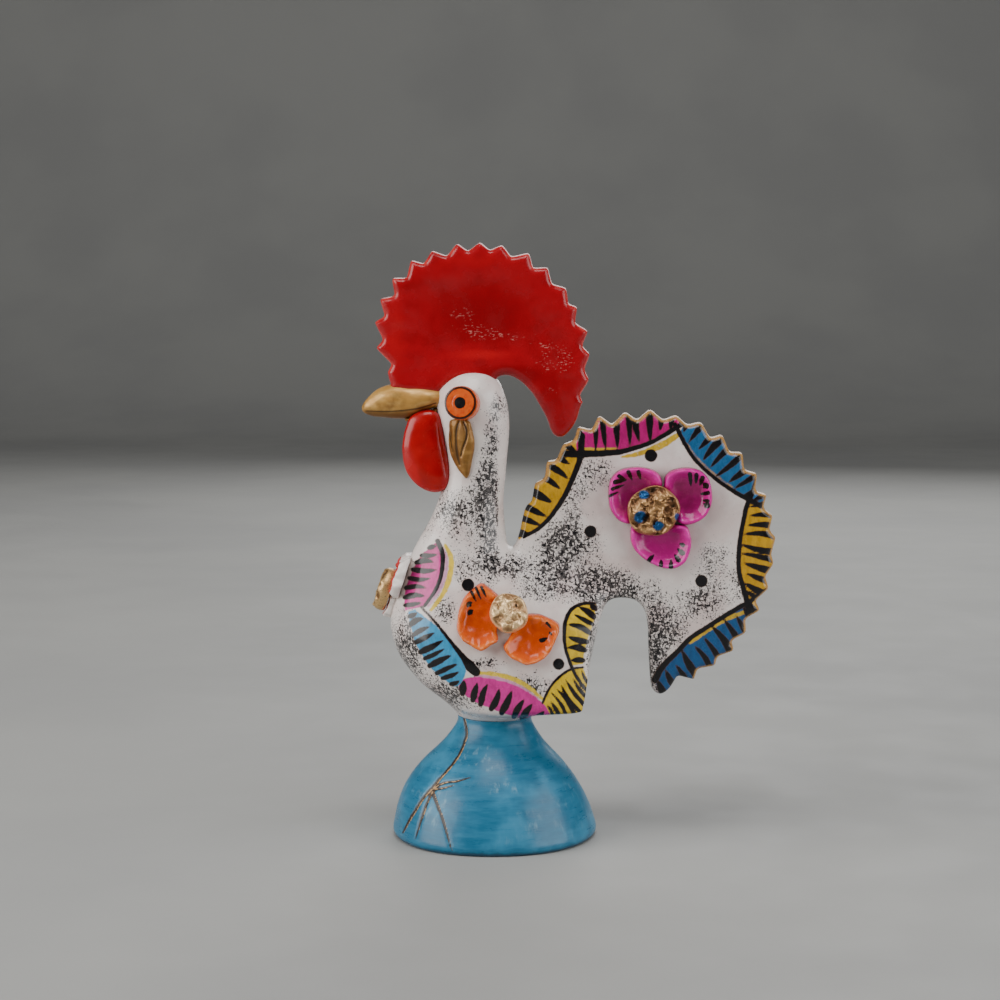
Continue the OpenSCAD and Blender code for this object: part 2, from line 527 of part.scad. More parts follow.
base();
body();
tail();
comb();
beak_upper();
beak_lower();
wattle();  // wattle_left
other_side() wattle();  // wattle_right
eye();  // eye_left
other_side() eye();  // eye_right
earlobe();  // earlobe_left
other_side() earlobe();  // earlobe_right
wing_petal_front();  // wing_petal_front_left
wing_petal_rear();  // wing_petal_rear_left
wing_button();  // wing_button_left
other_side() wing_petal_front();  // wing_petal_front_right
other_side() wing_petal_rear();  // wing_petal_rear_right
other_side() wing_button();  // wing_button_right
tail_petal(FRONT_AIM);  // tail_petal_front_left
tail_petal(REAR_AIM);  // tail_petal_rear_left
tail_petal(LOW_AIM);  // tail_petal_low_left
tail_button();  // tail_button_left
other_side() tail_petal(FRONT_AIM);  // tail_petal_front_right
other_side() tail_petal(REAR_AIM);  // tail_petal_rear_right
other_side() tail_petal(LOW_AIM);  // tail_petal_low_right
other_side() tail_button();  // tail_button_right
chest_petal(CHEST_AIM);  // chest_petal_left
chest_petal(180 - CHEST_AIM);  // chest_petal_right
chest_petal(LOW_AIM, LOW_SHARE);  // chest_petal_low
chest_button();
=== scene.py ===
"""The painted clay rooster's looks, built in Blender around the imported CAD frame.

Lengths are in millimetres until a mesh is made, heights h are above the foot, and places on the
photo are in its pixels, 1000 across. The right side mirrors the left, which faces the camera.
"""
import math

import bpy
import numpy as np
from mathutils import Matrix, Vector, noise
from mathutils.geometry import delaunay_2d_cdt


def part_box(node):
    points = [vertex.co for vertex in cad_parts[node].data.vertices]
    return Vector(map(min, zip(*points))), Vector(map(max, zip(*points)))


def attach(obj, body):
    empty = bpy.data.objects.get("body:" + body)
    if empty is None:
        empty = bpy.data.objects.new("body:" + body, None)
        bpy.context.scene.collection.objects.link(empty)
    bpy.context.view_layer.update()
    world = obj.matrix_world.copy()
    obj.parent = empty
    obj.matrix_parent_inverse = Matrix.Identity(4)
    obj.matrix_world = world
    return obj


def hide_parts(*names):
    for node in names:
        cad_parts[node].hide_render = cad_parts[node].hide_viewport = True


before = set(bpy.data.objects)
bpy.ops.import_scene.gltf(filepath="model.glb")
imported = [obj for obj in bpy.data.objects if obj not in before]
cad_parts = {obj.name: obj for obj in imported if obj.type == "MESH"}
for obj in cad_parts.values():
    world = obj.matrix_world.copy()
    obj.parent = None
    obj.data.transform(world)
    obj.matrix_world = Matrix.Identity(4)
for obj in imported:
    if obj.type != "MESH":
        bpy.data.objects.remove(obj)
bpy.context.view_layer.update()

MM = 0.001
PHOTO = 1000

# Sizes shared with the CAD part, some of them read from its nodes
BASE_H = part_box("base")[1].z / MM
BASE_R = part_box("base")[1].x / MM
BASE_NECK_R = 12.5
BASE_WALL = 4.5
BODY_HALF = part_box("body")[1].y / MM
TAIL_HALF = 3.6
COMB_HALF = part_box("comb")[1].y / MM
EYE_R = 5.65
EYE_STAND = 3.45

# The camera stands where the photo's did
CAMERA = np.array([1.8, -800.0, 205.4])
CAMERA_PITCH = math.radians(6.47)
CAMERA_PIXELS = 2383.0
FORWARD = np.array([0, math.cos(CAMERA_PITCH), -math.sin(CAMERA_PITCH)])
UPWARD = np.array([0, math.sin(CAMERA_PITCH), math.cos(CAMERA_PITCH)])


def seen_at(points):
    """Pixels at which the photo's camera sees points, with both sides folded onto the near one."""
    p = np.array(points, float)
    p[:, 1] = -np.abs(p[:, 1])
    d = p - CAMERA
    depth = d @ FORWARD
    return np.stack([PHOTO / 2 + CAMERA_PIXELS * d[:, 0] / depth,
                     PHOTO / 2 - CAMERA_PIXELS * (d @ UPWARD) / depth], 1)


def on_plane(pixels, y=0.0):
    """(x, h) of pixels on the upright plane at y, which may differ from pixel to pixel."""
    q = np.atleast_2d(np.array(pixels, float))
    right = (q[:, 0] - PHOTO / 2) / CAMERA_PIXELS
    up = (PHOTO / 2 - q[:, 1]) / CAMERA_PIXELS
    ray = np.stack([right, FORWARD[1] + up * UPWARD[1], FORWARD[2] + up * UPWARD[2]], 1)
    t = (y - CAMERA[1]) / ray[:, 1]
    return np.stack([CAMERA[0] + t * ray[:, 0], CAMERA[2] + t * ray[:, 2] - BASE_H], 1)


# Curves and distances

def ease(t):
    t = np.clip(t, 0, 1)
    return t * t * (3 - 2 * t)


def mix(a, b, t):
    return a + (b - a) * t


def smooth(rows, steps):
    """Smooth curve through rows, with a number of steps from each to the next."""
    rows = np.array(rows, float)
    last = len(rows) - 1
    k = np.linspace(0, last, last * steps + 1)
    i = np.minimum(k.astype(int), last - 1)
    t = (k - i)[:, None]
    a, b = rows[np.maximum(i - 1, 0)], rows[i]
    c, d = rows[i + 1], rows[np.minimum(i + 2, last)]
    return b + 0.5 * t * (c - a + t * (2 * a - 5 * b + 4 * c - d + t * (3 * b - a - 3 * c + d)))


def smooth_loop(rows, steps):
    """Smooth closed curve through rows, without its first point again at the end."""
    rows = list(rows)
    curve = smooth(rows[-2:] + rows + rows[:2], steps)
    return curve[2 * steps:(len(rows) + 2) * steps]


def evenly(line, count):
    """A number of points at even distances along a line of points."""
    line = np.array(line, float)
    s = np.concatenate([[0], np.cumsum(np.linalg.norm(np.diff(line, axis=0), axis=1))])
    want = np.linspace(0, s[-1], count)
    return np.stack([np.interp(want, s, line[:, i]) for i in range(line.shape[1])], 1)


def from_segments(points, a, b):
    """Distance from each point to its nearest segment, that segment's number and the share along it."""
    best = np.full(len(points), np.inf)
    which = np.zeros(len(points), int)
    share = np.zeros(len(points))
    for i in range(len(a)):
        d = b[i] - a[i]
        t = np.clip((points - a[i]) @ d / max(d @ d, 1e-9), 0, 1)
        away = np.hypot(*(points - a[i] - t[:, None] * d).T)
        near = away < best
        best[near], which[near], share[near] = away[near], i, t[near]
    return best, which, share


def from_line(points, line, widths):
    """How far outside a line of changing width each point is, below zero inside it."""
    away, which, share = from_segments(points, line[:-1], line[1:])
    w = np.interp(np.linspace(0, 1, len(line)), np.linspace(0, 1, len(widths)), widths)
    return away - mix(w[which], w[which + 1], share) / 2


def from_shape(points, outline):
    """Distance from a closed outline, below zero inside it."""
    line = np.array(outline, float)
    nxt = np.roll(line, -1, 0)
    away = from_segments(points, line, nxt)[0]
    inside = np.zeros(len(points), bool)
    x, y = points.T
    for (x0, y0), (x1, y1) in zip(line, nxt):
        if y0 != y1:
            crosses = ((y0 > y) != (y1 > y)) & (x < (x1 - x0) * (y - y0) / (y1 - y0) + x0)
            inside ^= crosses
    return np.where(inside, -away, away)


def within(outline, points, reach):
    """Which points lie in an outline's box, widened by reach."""
    o = np.array(outline, float)
    return np.all((points > o.min(0) - reach) & (points < o.max(0) + reach), axis=1)


# Distance that means no paint, how far round a mark is measured, and points taken along a band's edge
FAR, REACH, SAMPLES = 50.0, 14, 200


class Paint:
    """Distances from brush marks, for the points of one mesh, in pixels of the photo."""

    def __init__(self, points):
        self.at = seen_at(points)
        self.layers = {}

    def put(self, layer, outline, measure):
        d = self.layers.setdefault(layer, np.full(len(self.at), FAR))
        near = within(outline, self.at, REACH)
        if near.any():
            d[near] = np.minimum(d[near], measure(self.at[near]))

    def fill(self, layer, outline):
        self.put(layer, outline, lambda p: from_shape(p, outline))

    def line(self, layer, points, widths, steps=6):
        curve = smooth(points, steps)
        self.put(layer, curve, lambda p: from_line(p, curve, widths))

    def dot(self, layer, centre, r):
        self.put(layer, [centre], lambda p: np.hypot(*(p - centre).T) - r)

    def strokes(self, layer, outer, inner, count, share, width, lean, rng):
        """Brush strokes that start at the outer line and taper towards the inner one."""
        starts, ends = evenly(smooth(outer, 6), SAMPLES), evenly(inner, SAMPLES)
        for i in range(count):
            u = (i + 0.5 + rng.uniform(-0.12, 0.12)) / count
            a = starts[int(u * (SAMPLES - 1))]
            b = ends[int(np.clip(u + lean, 0, 1) * (SAMPLES - 1))]
            reach = share * rng.uniform(0.84, 1.1)
            bend = np.array([a[1] - b[1], b[0] - a[0]]) * rng.uniform(-0.08, 0.08)
            w = width * rng.uniform(0.8, 1.2)
            middle, end = a + (b - a) * reach * 0.5 + bend, a + (b - a) * reach
            self.line(layer, [a, middle, end], [0.7 * w, w, 0.95 * w, 0.6 * w, 0.1], 4)

    def store(self, obj):
        for name, d in self.layers.items():
            store(obj, name, d)


# Meshes

def store(obj, name, values):
    """Keeps a number for each vertex of a mesh, or one number for all of them."""
    attribute = obj.data.attributes.new(name, "FLOAT", "POINT")
    attribute.data.foreach_set("value", np.full(len(attribute.data), values, np.float32))


def place_of(obj):
    """Places of a mesh's vertices, in millimetres."""
    co = np.zeros(len(obj.data.vertices) * 3, np.float32)
    obj.data.vertices.foreach_get("co", co)
    return co.reshape(-1, 3).astype(float) / MM


def move_to(obj, points):
    obj.data.vertices.foreach_set("co", (np.asarray(points) * MM).astype(np.float32).ravel())
    obj.data.update()


def upright(points):
    """(x, h) of points."""
    return points[:, [0, 2]] - [0, BASE_H]


def coated(obj, material):
    """Gives a piece its paint."""
    obj.data.materials.append(material)
    return obj


def shade_smooth(obj):
    obj.data.polygons.foreach_set("use_smooth", [True] * len(obj.data.polygons))


def new_object(name, points, faces):
    """A smooth mesh object from points in millimetres, its faces turned outwards."""
    mesh = bpy.data.meshes.new(name)
    mesh.from_pydata((np.asarray(points) * MM).tolist(), [], faces)
    obj = bpy.data.objects.new(name, mesh)
    bpy.context.scene.collection.objects.link(obj)
    shade_smooth(obj)
    return obj


def ring_faces(count, m):
    """Faces between rings of m points, with the first and the last ring filled."""
    i, j = np.meshgrid(np.arange(count - 1), np.arange(m), indexing="ij")
    a, b = i * m + j, i * m + (j + 1) % m
    quads = np.stack([a, b, b + m, a + m], -1).reshape(-1, 4).tolist()
    return quads + [list(range(m))[::-1], list(range((count - 1) * m, count * m))]


def skin(name, rings):
    """A closed mesh from rings of points, whichever way round they run."""
    rings = np.array(rings, float)
    points = rings.reshape(-1, 3)
    faces = ring_faces(*rings.shape[:2])
    p = points[np.array([f for f in faces if len(f) == 4])]
    volume = np.sum(np.cross(p[:, 1] - p[:, 0], p[:, 2] - p[:, 0]) * p[:, 0])
    volume += np.sum(np.cross(p[:, 2] - p[:, 0], p[:, 3] - p[:, 0]) * p[:, 0])
    if volume < 0:
        faces = [f[::-1] for f in faces]
    return new_object(name, points, faces)


def raised(points):
    """Points whose last number is a height above the foot, in the row frame."""
    points = np.array(points, float)
    points[..., 2] += BASE_H
    return points


def wobble(points, size, seed):
    """Smooth noise from -1 to 1 at each point, with lumps of about a given size."""
    shift = Vector((seed * 17.3, seed * 5.1, seed * 9.7))
    return np.array([noise.noise(Vector(p / size) + shift) for p in points])


def hand_made(obj, amount, size, seed):
    """Presses a mesh in and out along its normals, as fingers leave clay."""
    points = place_of(obj)
    normals = np.zeros(len(points) * 3, np.float32)
    obj.data.vertices.foreach_get("normal", normals)
    move_to(obj, points + normals.reshape(-1, 3) * (amount * wobble(points, size, seed))[:, None])


def edges_of(obj):
    e = np.zeros(len(obj.data.edges) * 2, np.int32)
    obj.data.edges.foreach_get("vertices", e)
    return e.reshape(-1, 2)


def relax(points, edges, weight, turns):
    """Smooths points towards their neighbours, each by its weight."""
    a, b = edges.T
    count = np.bincount(np.concatenate([a, b]), minlength=len(points))[:, None]
    for _ in range(turns):
        total = [np.bincount(a, p[b], len(p)) + np.bincount(b, p[a], len(p)) for p in points.T]
        points = points + weight[:, None] * (np.stack(total, 1) / np.maximum(count, 1) - points)
    return points


def piece(obj, slot, *nodes):
    """Says which CAD nodes a piece stands for; its slot is not used."""
    obj.name = obj.data.name = "painted_" + "_and_".join(nodes)
    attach(obj, "root")
    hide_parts(*nodes)
    return obj


def other_side(obj, name):
    """A mirrored copy, for the rooster's right side."""
    points = place_of(obj) * [1, -1, 1]
    faces = [list(f.vertices)[::-1] for f in obj.data.polygons]
    copy = new_object(name, points, faces)
    for attribute in obj.data.attributes:
        if attribute.data_type == "FLOAT" and attribute.domain == "POINT":
            values = np.zeros(len(points), np.float32)
            attribute.data.foreach_get("value", values)
            store(copy, attribute.name, values)
    return coated(copy, obj.data.materials[0])


def both_sides(obj, slot, name):
    """The piece on the left side and its mirrored copy on the right."""
    piece(obj, slot, name + "_left")
    piece(other_side(obj, name + "_right"), slot, name + "_right")


# Material nodes

class Nodes:
    """Short names for the shader nodes that the paints are made of."""

    def __init__(self, name):
        self.material = bpy.data.materials.new(name)
        self.material.use_nodes = True
        self.tree = self.material.node_tree
        self.shader = self.tree.nodes["Principled BSDF"]
        self.here = self.add("ShaderNodeTexCoord").outputs["Object"]

    def add(self, kind, **settings):
        node = self.tree.nodes.new(kind)
        for key, value in settings.items():
            setattr(node, key, value)
        return node

    def link(self, value, socket):
        if hasattr(value, "is_output"):
            self.tree.links.new(value, socket)
        else:
            socket.default_value = value

    def math(self, operation, a, b=0.0, c=0.0):
        node = self.add("ShaderNodeMath", operation=operation)
        for socket, value in zip(node.inputs, (a, b, c)):
            self.link(value, socket)
        return node.outputs[0]

    def ramp(self, value, low, high, out_low=0.0, out_high=1.0):
        """Smooth step from low to high."""
        node = self.add("ShaderNodeMapRange", interpolation_type="SMOOTHSTEP")
        for socket, v in zip(node.inputs, (value, low, high, out_low, out_high)):
            self.link(v, socket)
        return node.outputs[0]

    def jitter(self, size, amount):
        """Noise with lumps of a size, from minus half the amount to plus half."""
        return self.math("MULTIPLY_ADD", self.noise(size, 3), amount, -amount / 2)

    def stored(self, name):
        return self.add("ShaderNodeAttribute", attribute_name=name).outputs["Fac"]

    def brushed(self, name, size, amount):
        """A stored number with an uneven edge, as a brush leaves it."""
        return self.math("ADD", self.stored(name), self.jitter(size, amount))

    def stretched(self, scale=(1, 1, 1), turn=(0, 0, 0)):
        """Object coordinates in millimetres, turned and stretched."""
        node = self.add("ShaderNodeMapping")
        self.link(self.here, node.inputs["Vector"])
        node.inputs["Rotation"].default_value = turn
        node.inputs["Scale"].default_value = [s / MM for s in scale]
        return node.outputs[0]

    def noise(self, size, detail=2.0, where=None, rough=0.5):
        """Noise from 0 to 1 with lumps of a size in millimetres."""
        node = self.add("ShaderNodeTexNoise")
        self.link(where or self.stretched(), node.inputs["Vector"])
        node.inputs["Scale"].default_value = 1 / size
        node.inputs["Detail"].default_value = detail
        node.inputs["Roughness"].default_value = rough
        return node.outputs["Fac"]

    def blend(self, amount, a, b, kind="MIX"):
        """Colour a, covered by colour b where amount is 1."""
        node = self.add("ShaderNodeMix", data_type="RGBA", blend_type=kind)
        self.link(amount, node.inputs["Factor"])
        self.link(a if hasattr(a, "is_output") else (*a, 1.0), node.inputs[6])
        self.link(b if hasattr(b, "is_output") else (*b, 1.0), node.inputs[7])
        return node.outputs[2]

    def bump(self, height, depth, under=None):
        """A bump of a depth in millimetres."""
        node = self.add("ShaderNodeBump")
        node.inputs["Distance"].default_value = depth * MM
        self.link(height, node.inputs["Height"])
        if under:
            self.link(under, node.inputs["Normal"])
        return node.outputs[0]

    def finish(self, colour, rough, normal=None, metal=0.0, coat=0.0, specular=0.33):
        s = self.shader.inputs
        self.link(colour, s["Base Color"])
        self.link(rough, s["Roughness"])
        self.link(metal, s["Metallic"])
        s["Coat Weight"].default_value = coat
        s["Coat Roughness"].default_value = 0.08
        s["Specular IOR Level"].default_value = specular
        if normal:
            self.link(normal, s["Normal"])
        return self.material


INK, INK_THIN = (0.006, 0.005, 0.006), (0.07, 0.03, 0.015)
WHITE, WASH = (0.78, 0.71, 0.67), (0.64, 0.51, 0.48)
DUST, STREAK = (0.2, 0.18, 0.2), (0.55, 0.5, 0.5)
RIM_GOLD, OCHRE = (0.56, 0.3, 0.09), (0.5, 0.3, 0.11)
COAT = 0.22


def glaze_bump(n, fine=0.012, broad=0.05):
    """The slight waves of a hand-dipped glaze over clay."""
    return n.bump(n.noise(9, 2), broad, n.bump(n.noise(1.6, 3), fine))


def painted_glaze():
    """White glaze with dabbed black flecks, and the painted bands, lines and dots over it."""
    n = Nodes("painted_glaze")
    waver = n.jitter(1.7, 2.4)
    wing = n.stored("wing")
    colour = n.blend(n.ramp(n.noise(13, 3), 0.42, 0.66, 0.0, 0.7), WHITE, WASH)
    # Flecks: dabs in two directions and specks between them, over a fine grey dusting
    density = n.brushed("flecks", 4, 0.9)
    dusty = n.ramp(density, 0.2, 1.1, 0.0, 0.75)
    dusting = n.math("MULTIPLY", n.ramp(n.noise(0.55, 3), 0.45, 0.65), dusty)
    colour = n.blend(dusting, colour, DUST)
    dab_a = n.noise(1.15, 3, n.stretched((1.6, 1, 0.65), (0.2, 0.55, 0.1)), 0.6)
    dab_b = n.noise(1.15, 3, n.stretched((0.75, 1, 1.5), (0.1, -0.5, 0.3)), 0.6)
    dab = n.math("MAXIMUM", dab_a, dab_b)
    fleck = n.ramp(n.math("SUBTRACT", dab, n.ramp(density, 0.0, 1.3, 0.74, 0.507)), 0.0, 0.02)
    speck = n.ramp(n.math("SUBTRACT", n.noise(0.62, 2), n.ramp(density, 0.0, 0.7, 0.76, 0.57)), 0.0, 0.04)
    faded = n.ramp(n.noise(1.1, 2), 0.4, 0.62, 0.88, 1.0)
    colour = n.blend(n.math("MULTIPLY", n.math("MAXIMUM", fleck, speck), faded), colour, INK)
    brush = n.ramp(n.noise(1.6, 4, n.stretched((1, 1, 0.4), (0, 0.7, 0)), 0.65), 0.35, 0.72)

    def cover(colour, layer, tail, on_wing, soft=0.7, dry=0.0):
        """Lays a paint where its layer's distance is below zero."""
        mask = n.ramp(n.math("ADD", n.stored(layer), waver), soft, -soft)
        tone = n.blend(wing, tail, on_wing)
        tone = n.blend(n.math("MULTIPLY", brush, 0.6), tone, STREAK, "MULTIPLY")
        if dry:
            mask = n.math("MULTIPLY", mask, n.ramp(n.noise(0.8, 3), 0.3, 0.42, dry, 1.0))
        return n.blend(mask, colour, tone)

    colour = cover(colour, "lilac", (0.6, 0.25, 0.42), (0.66, 0.3, 0.48), soft=1.6, dry=0.6)
    colour = cover(colour, "yellow", (0.6, 0.33, 0.012), (0.76, 0.52, 0.022))
    colour = cover(colour, "magenta", (0.46, 0.006, 0.16), (0.68, 0.03, 0.3))
    # Painted shade: the tail's blue is deeper towards its low end
    blue = n.blend(n.stored("low"), (0.018, 0.13, 0.3), (0.012, 0.085, 0.23))
    colour = cover(colour, "blue", blue, (0.04, 0.32, 0.58))
    colour = cover(colour, "accent", (0.62, 0.4, 0.03), (0.78, 0.56, 0.06), dry=0.75)
    colour = cover(colour, "ochre", OCHRE, OCHRE, soft=0.9)
    ink = n.math("MULTIPLY_ADD", waver, 0.55, n.stored("ink"))
    colour = n.blend(n.ramp(ink, 1.1, -0.2), colour, INK_THIN)
    colour = n.blend(n.ramp(ink, 0.35, -0.35), colour, INK)
    colour = cover(colour, "rim", RIM_GOLD, RIM_GOLD, soft=1.2, dry=0.2)
    return n.finish(colour, n.ramp(n.noise(3, 3), 0.3, 0.75, 0.17, 0.32), glaze_bump(n), coat=COAT)


def red_enamel(name, colours, worn):
    """Red enamel from bright to deep, with the comb's scratches, its painted shade and light in patches, and
    a painted highlight along its teeth.
    """
    n = Nodes(name)
    bright, base, deep = colours
    colour = n.blend(n.ramp(n.noise(7, 4), 0.4, 0.75, 0.0, 0.6), base, deep)
    if worn:
        # Painted shade and painted light in patches over the comb
        painted_shading = n.brushed("painted_shading", 6, 0.5)
        colour = n.blend(n.ramp(painted_shading, 0.0, 0.9, 0.0, 0.9), colour, deep)
        colour = n.blend(n.ramp(painted_shading, -0.1, -0.8), colour, bright)
        streak = n.noise(0.75, 3, n.stretched((0.55, 1, 1.6), (0, 0.25, 0)), 0.6)
        limit = n.ramp(n.stored("worn"), 0.0, 1.0, 0.8, 0.54)
        scratch = n.ramp(n.math("SUBTRACT", streak, limit), 0.0, 0.06, 0.0, 0.7)
        colour = n.blend(scratch, colour, (0.62, 0.24, 0.2))
        # Painted highlight: a paler red along the edges of the comb's teeth
        rim = n.brushed("rim", 2.2, 2.2)
        colour = n.blend(n.ramp(rim, 1.0, 0.0, 0.0, 0.6), colour, (0.72, 0.06, 0.045))
    else:
        colour = n.blend(n.ramp(n.noise(10, 2), 0.5, 0.7), colour, bright)
    rough = n.ramp(n.noise(6, 4), 0.3, 0.72, 0.17, 0.34)
    return n.finish(colour, rough, glaze_bump(n, 0.012, 0.09), coat=COAT)


def gold_paint(name, tones):
    """Gold paint brushed on clay, darker in patches and in its grooves, with painted shade below."""
    n = Nodes(name)
    dark, base, pale = tones
    streak = n.noise(2.2, 3, n.stretched((0.5, 1, 1.1), (0, 0.1, 0)))
    colour = n.blend(n.ramp(streak, 0.4, 0.75, 0.0, 0.6), base, pale)
    colour = n.blend(n.ramp(n.noise(6, 3), 0.46, 0.75, 0.0, 0.7), colour, dark)
    # Painted shade where a piece stores it
    colour = n.blend(n.ramp(n.stored("shade"), 0.0, 1.0, 0.0, 0.85), colour, dark)
    colour = n.blend(n.ramp(n.stored("groove"), 0.7, -0.4, 0.0, 0.9), colour, (0.05, 0.025, 0.01))
    height = n.bump(streak, 0.04, n.bump(n.noise(3.5, 3), 0.1))
    return n.finish(colour, n.ramp(streak, 0.3, 0.75, 0.44, 0.32), height, metal=0.3, coat=0.1)


def crumpled_gold(name, pale, dark, blue):
    """Metal paint on a crumpled pellet: folds paler as painted highlight, creases darker as painted shade,
    and dabs of blue on some.
    """
    n = Nodes(name)
    fold = n.stored("fold")
    # Painted highlight on the folds and painted shade in the creases, from the stored fold height
    colour = n.blend(n.ramp(n.math("ADD", fold, n.jitter(1.6, 0.35)), 0.2, 0.8), dark, pale)
    if blue:
        dab = n.ramp(n.brushed("dabs", 2.2, 6), 0.8, -0.8)
        colour = n.blend(dab, colour, (0.012, 0.085, 0.25))
    # Painted shade: the deepest creases nearly black
    colour = n.blend(n.ramp(fold, 0.14, -0.02), colour, (0.03, 0.014, 0.006))
    rough = n.ramp(n.noise(0.9, 3), 0.3, 0.7, 0.22, 0.42)
    return n.finish(colour, rough, n.bump(n.noise(1.1, 3), 0.08), metal=0.55)


def petal_enamel(name, deep, base, rim, back=None):
    """Thick glossy paint, darker in the cup as painted shade and pale on the rim as painted highlight, with
    black strokes.
    """
    n = Nodes(name)
    cup = n.brushed("cup", 2.2, 0.5)
    # Painted shade low in the cup and a painted highlight on its crest, from the stored cup height
    colour = n.blend(n.ramp(cup, 0.2, 0.75), deep, base)
    colour = n.blend(n.ramp(cup, 0.72, 1.15), colour, rim)
    colour = n.blend(n.ramp(n.noise(1.6, 3), 0.58, 0.8, 0.0, 0.14), colour, rim)
    if back:
        outer = n.brushed("share", 1.6, 0.06)
        colour = n.blend(n.ramp(outer, 0.84, 0.87), colour, back)
    ink = n.brushed("ink", 0.9, 1.6)
    colour = n.blend(n.ramp(ink, 0.5, -0.3), colour, INK)
    return n.finish(colour, n.ramp(n.noise(2, 3), 0.3, 0.7, 0.15, 0.3), glaze_bump(n, 0.02, 0.1), coat=COAT)


def eye_enamel():
    n = Nodes("eye_enamel")
    r = n.brushed("from_pupil", 1.5, 0.35)
    colour = n.blend(n.ramp(n.noise(1.6, 4), 0.4, 0.75), (0.66, 0.1, 0.01), (0.52, 0.045, 0.006))
    colour = n.blend(n.ramp(r, 2.0, 1.82), colour, INK)
    ring = n.math("MULTIPLY", n.ramp(r, 4.6, 4.8), n.ramp(r, 5.6, 5.35))
    colour = n.blend(ring, colour, (0.03, 0.008, 0.005))
    return n.finish(colour, n.ramp(n.noise(2, 2), 0.3, 0.7, 0.14, 0.26), glaze_bump(n), coat=COAT)


def sky_glaze():
    """Brushed sky-blue glaze, with pale streaks painted as highlights, painted shade at its bottom edge, and
    a claw scratched through it and filled with gold and ink.
    """
    n = Nodes("sky_glaze")
    around = n.noise(1.7, 4, n.stretched((0.15, 0.15, 1)), 0.62)
    down = n.noise(2.2, 4, n.stretched((1, 1, 0.14)), 0.6)
    colour = n.blend(n.ramp(around, 0.36, 0.7), (0.014, 0.13, 0.235), (0.024, 0.175, 0.3))
    colour = n.blend(n.ramp(n.noise(11, 3), 0.46, 0.75, 0.0, 0.7), colour, (0.06, 0.28, 0.45))
    # Painted highlight: pale vertical streaks over the blue
    highlight_streaks = n.math("MULTIPLY", n.ramp(down, 0.5, 0.75, 0.0, 0.45), n.ramp(n.noise(15, 2), 0.52, 0.66))
    colour = n.blend(highlight_streaks, colour, (0.3, 0.5, 0.6))
    # Painted shade: the glaze darkens along its bottom edge
    foot = n.ramp(n.brushed("low", 2.4, 1.6), 2.0, 0.6, 0.0, 0.8)
    colour = n.blend(foot, colour, (0.015, 0.05, 0.09))
    colour = n.blend(n.ramp(n.stored("bare"), 0.4, 0.6), colour, (0.55, 0.42, 0.33))
    claw = n.brushed("claw", 1.2, 1.0)
    colour = n.blend(n.ramp(claw, 0.7, -0.1), colour, (0.03, 0.02, 0.015))
    gold = n.brushed("claw_gold", 1.0, 1.8)
    colour = n.blend(n.ramp(gold, 0.3, -0.3), colour, (0.5, 0.3, 0.14))
    rough = n.ramp(around, 0.3, 0.75, 0.26, 0.42)
    return n.finish(colour, rough, n.bump(around, 0.05, glaze_bump(n)), coat=0.06)


def studio_floor():
    n = Nodes("studio_floor")
    colour = n.blend(n.ramp(n.noise(180, 3), 0.35, 0.65), (0.34, 0.34, 0.33), (0.37, 0.37, 0.355))
    rough = n.ramp(n.noise(40, 3), 0.3, 0.7, 0.6, 0.75)
    return n.finish(colour, rough, n.bump(n.noise(1.5, 3), 0.05), specular=0.3)


# Trunk, neck and head: level rings, from the same table as the CAD part

HALF = BODY_HALF
NECK = 9.2
HEAD = 11.0
NAPE, RUMP = np.array([5.5, 56.6]), np.array([37, 37.5])
NAPE_HALF, RUMP_HALF = 5.5, 8.0
REAR_CORNER = 135.0


def saddle_x(h):
    return mix(RUMP[0], NAPE[0], (h - RUMP[1]) / (NAPE[1] - RUMP[1]))


def saddle_half(h):
    return mix(RUMP_HALF, NAPE_HALF, (h - RUMP[1]) / (NAPE[1] - RUMP[1]))


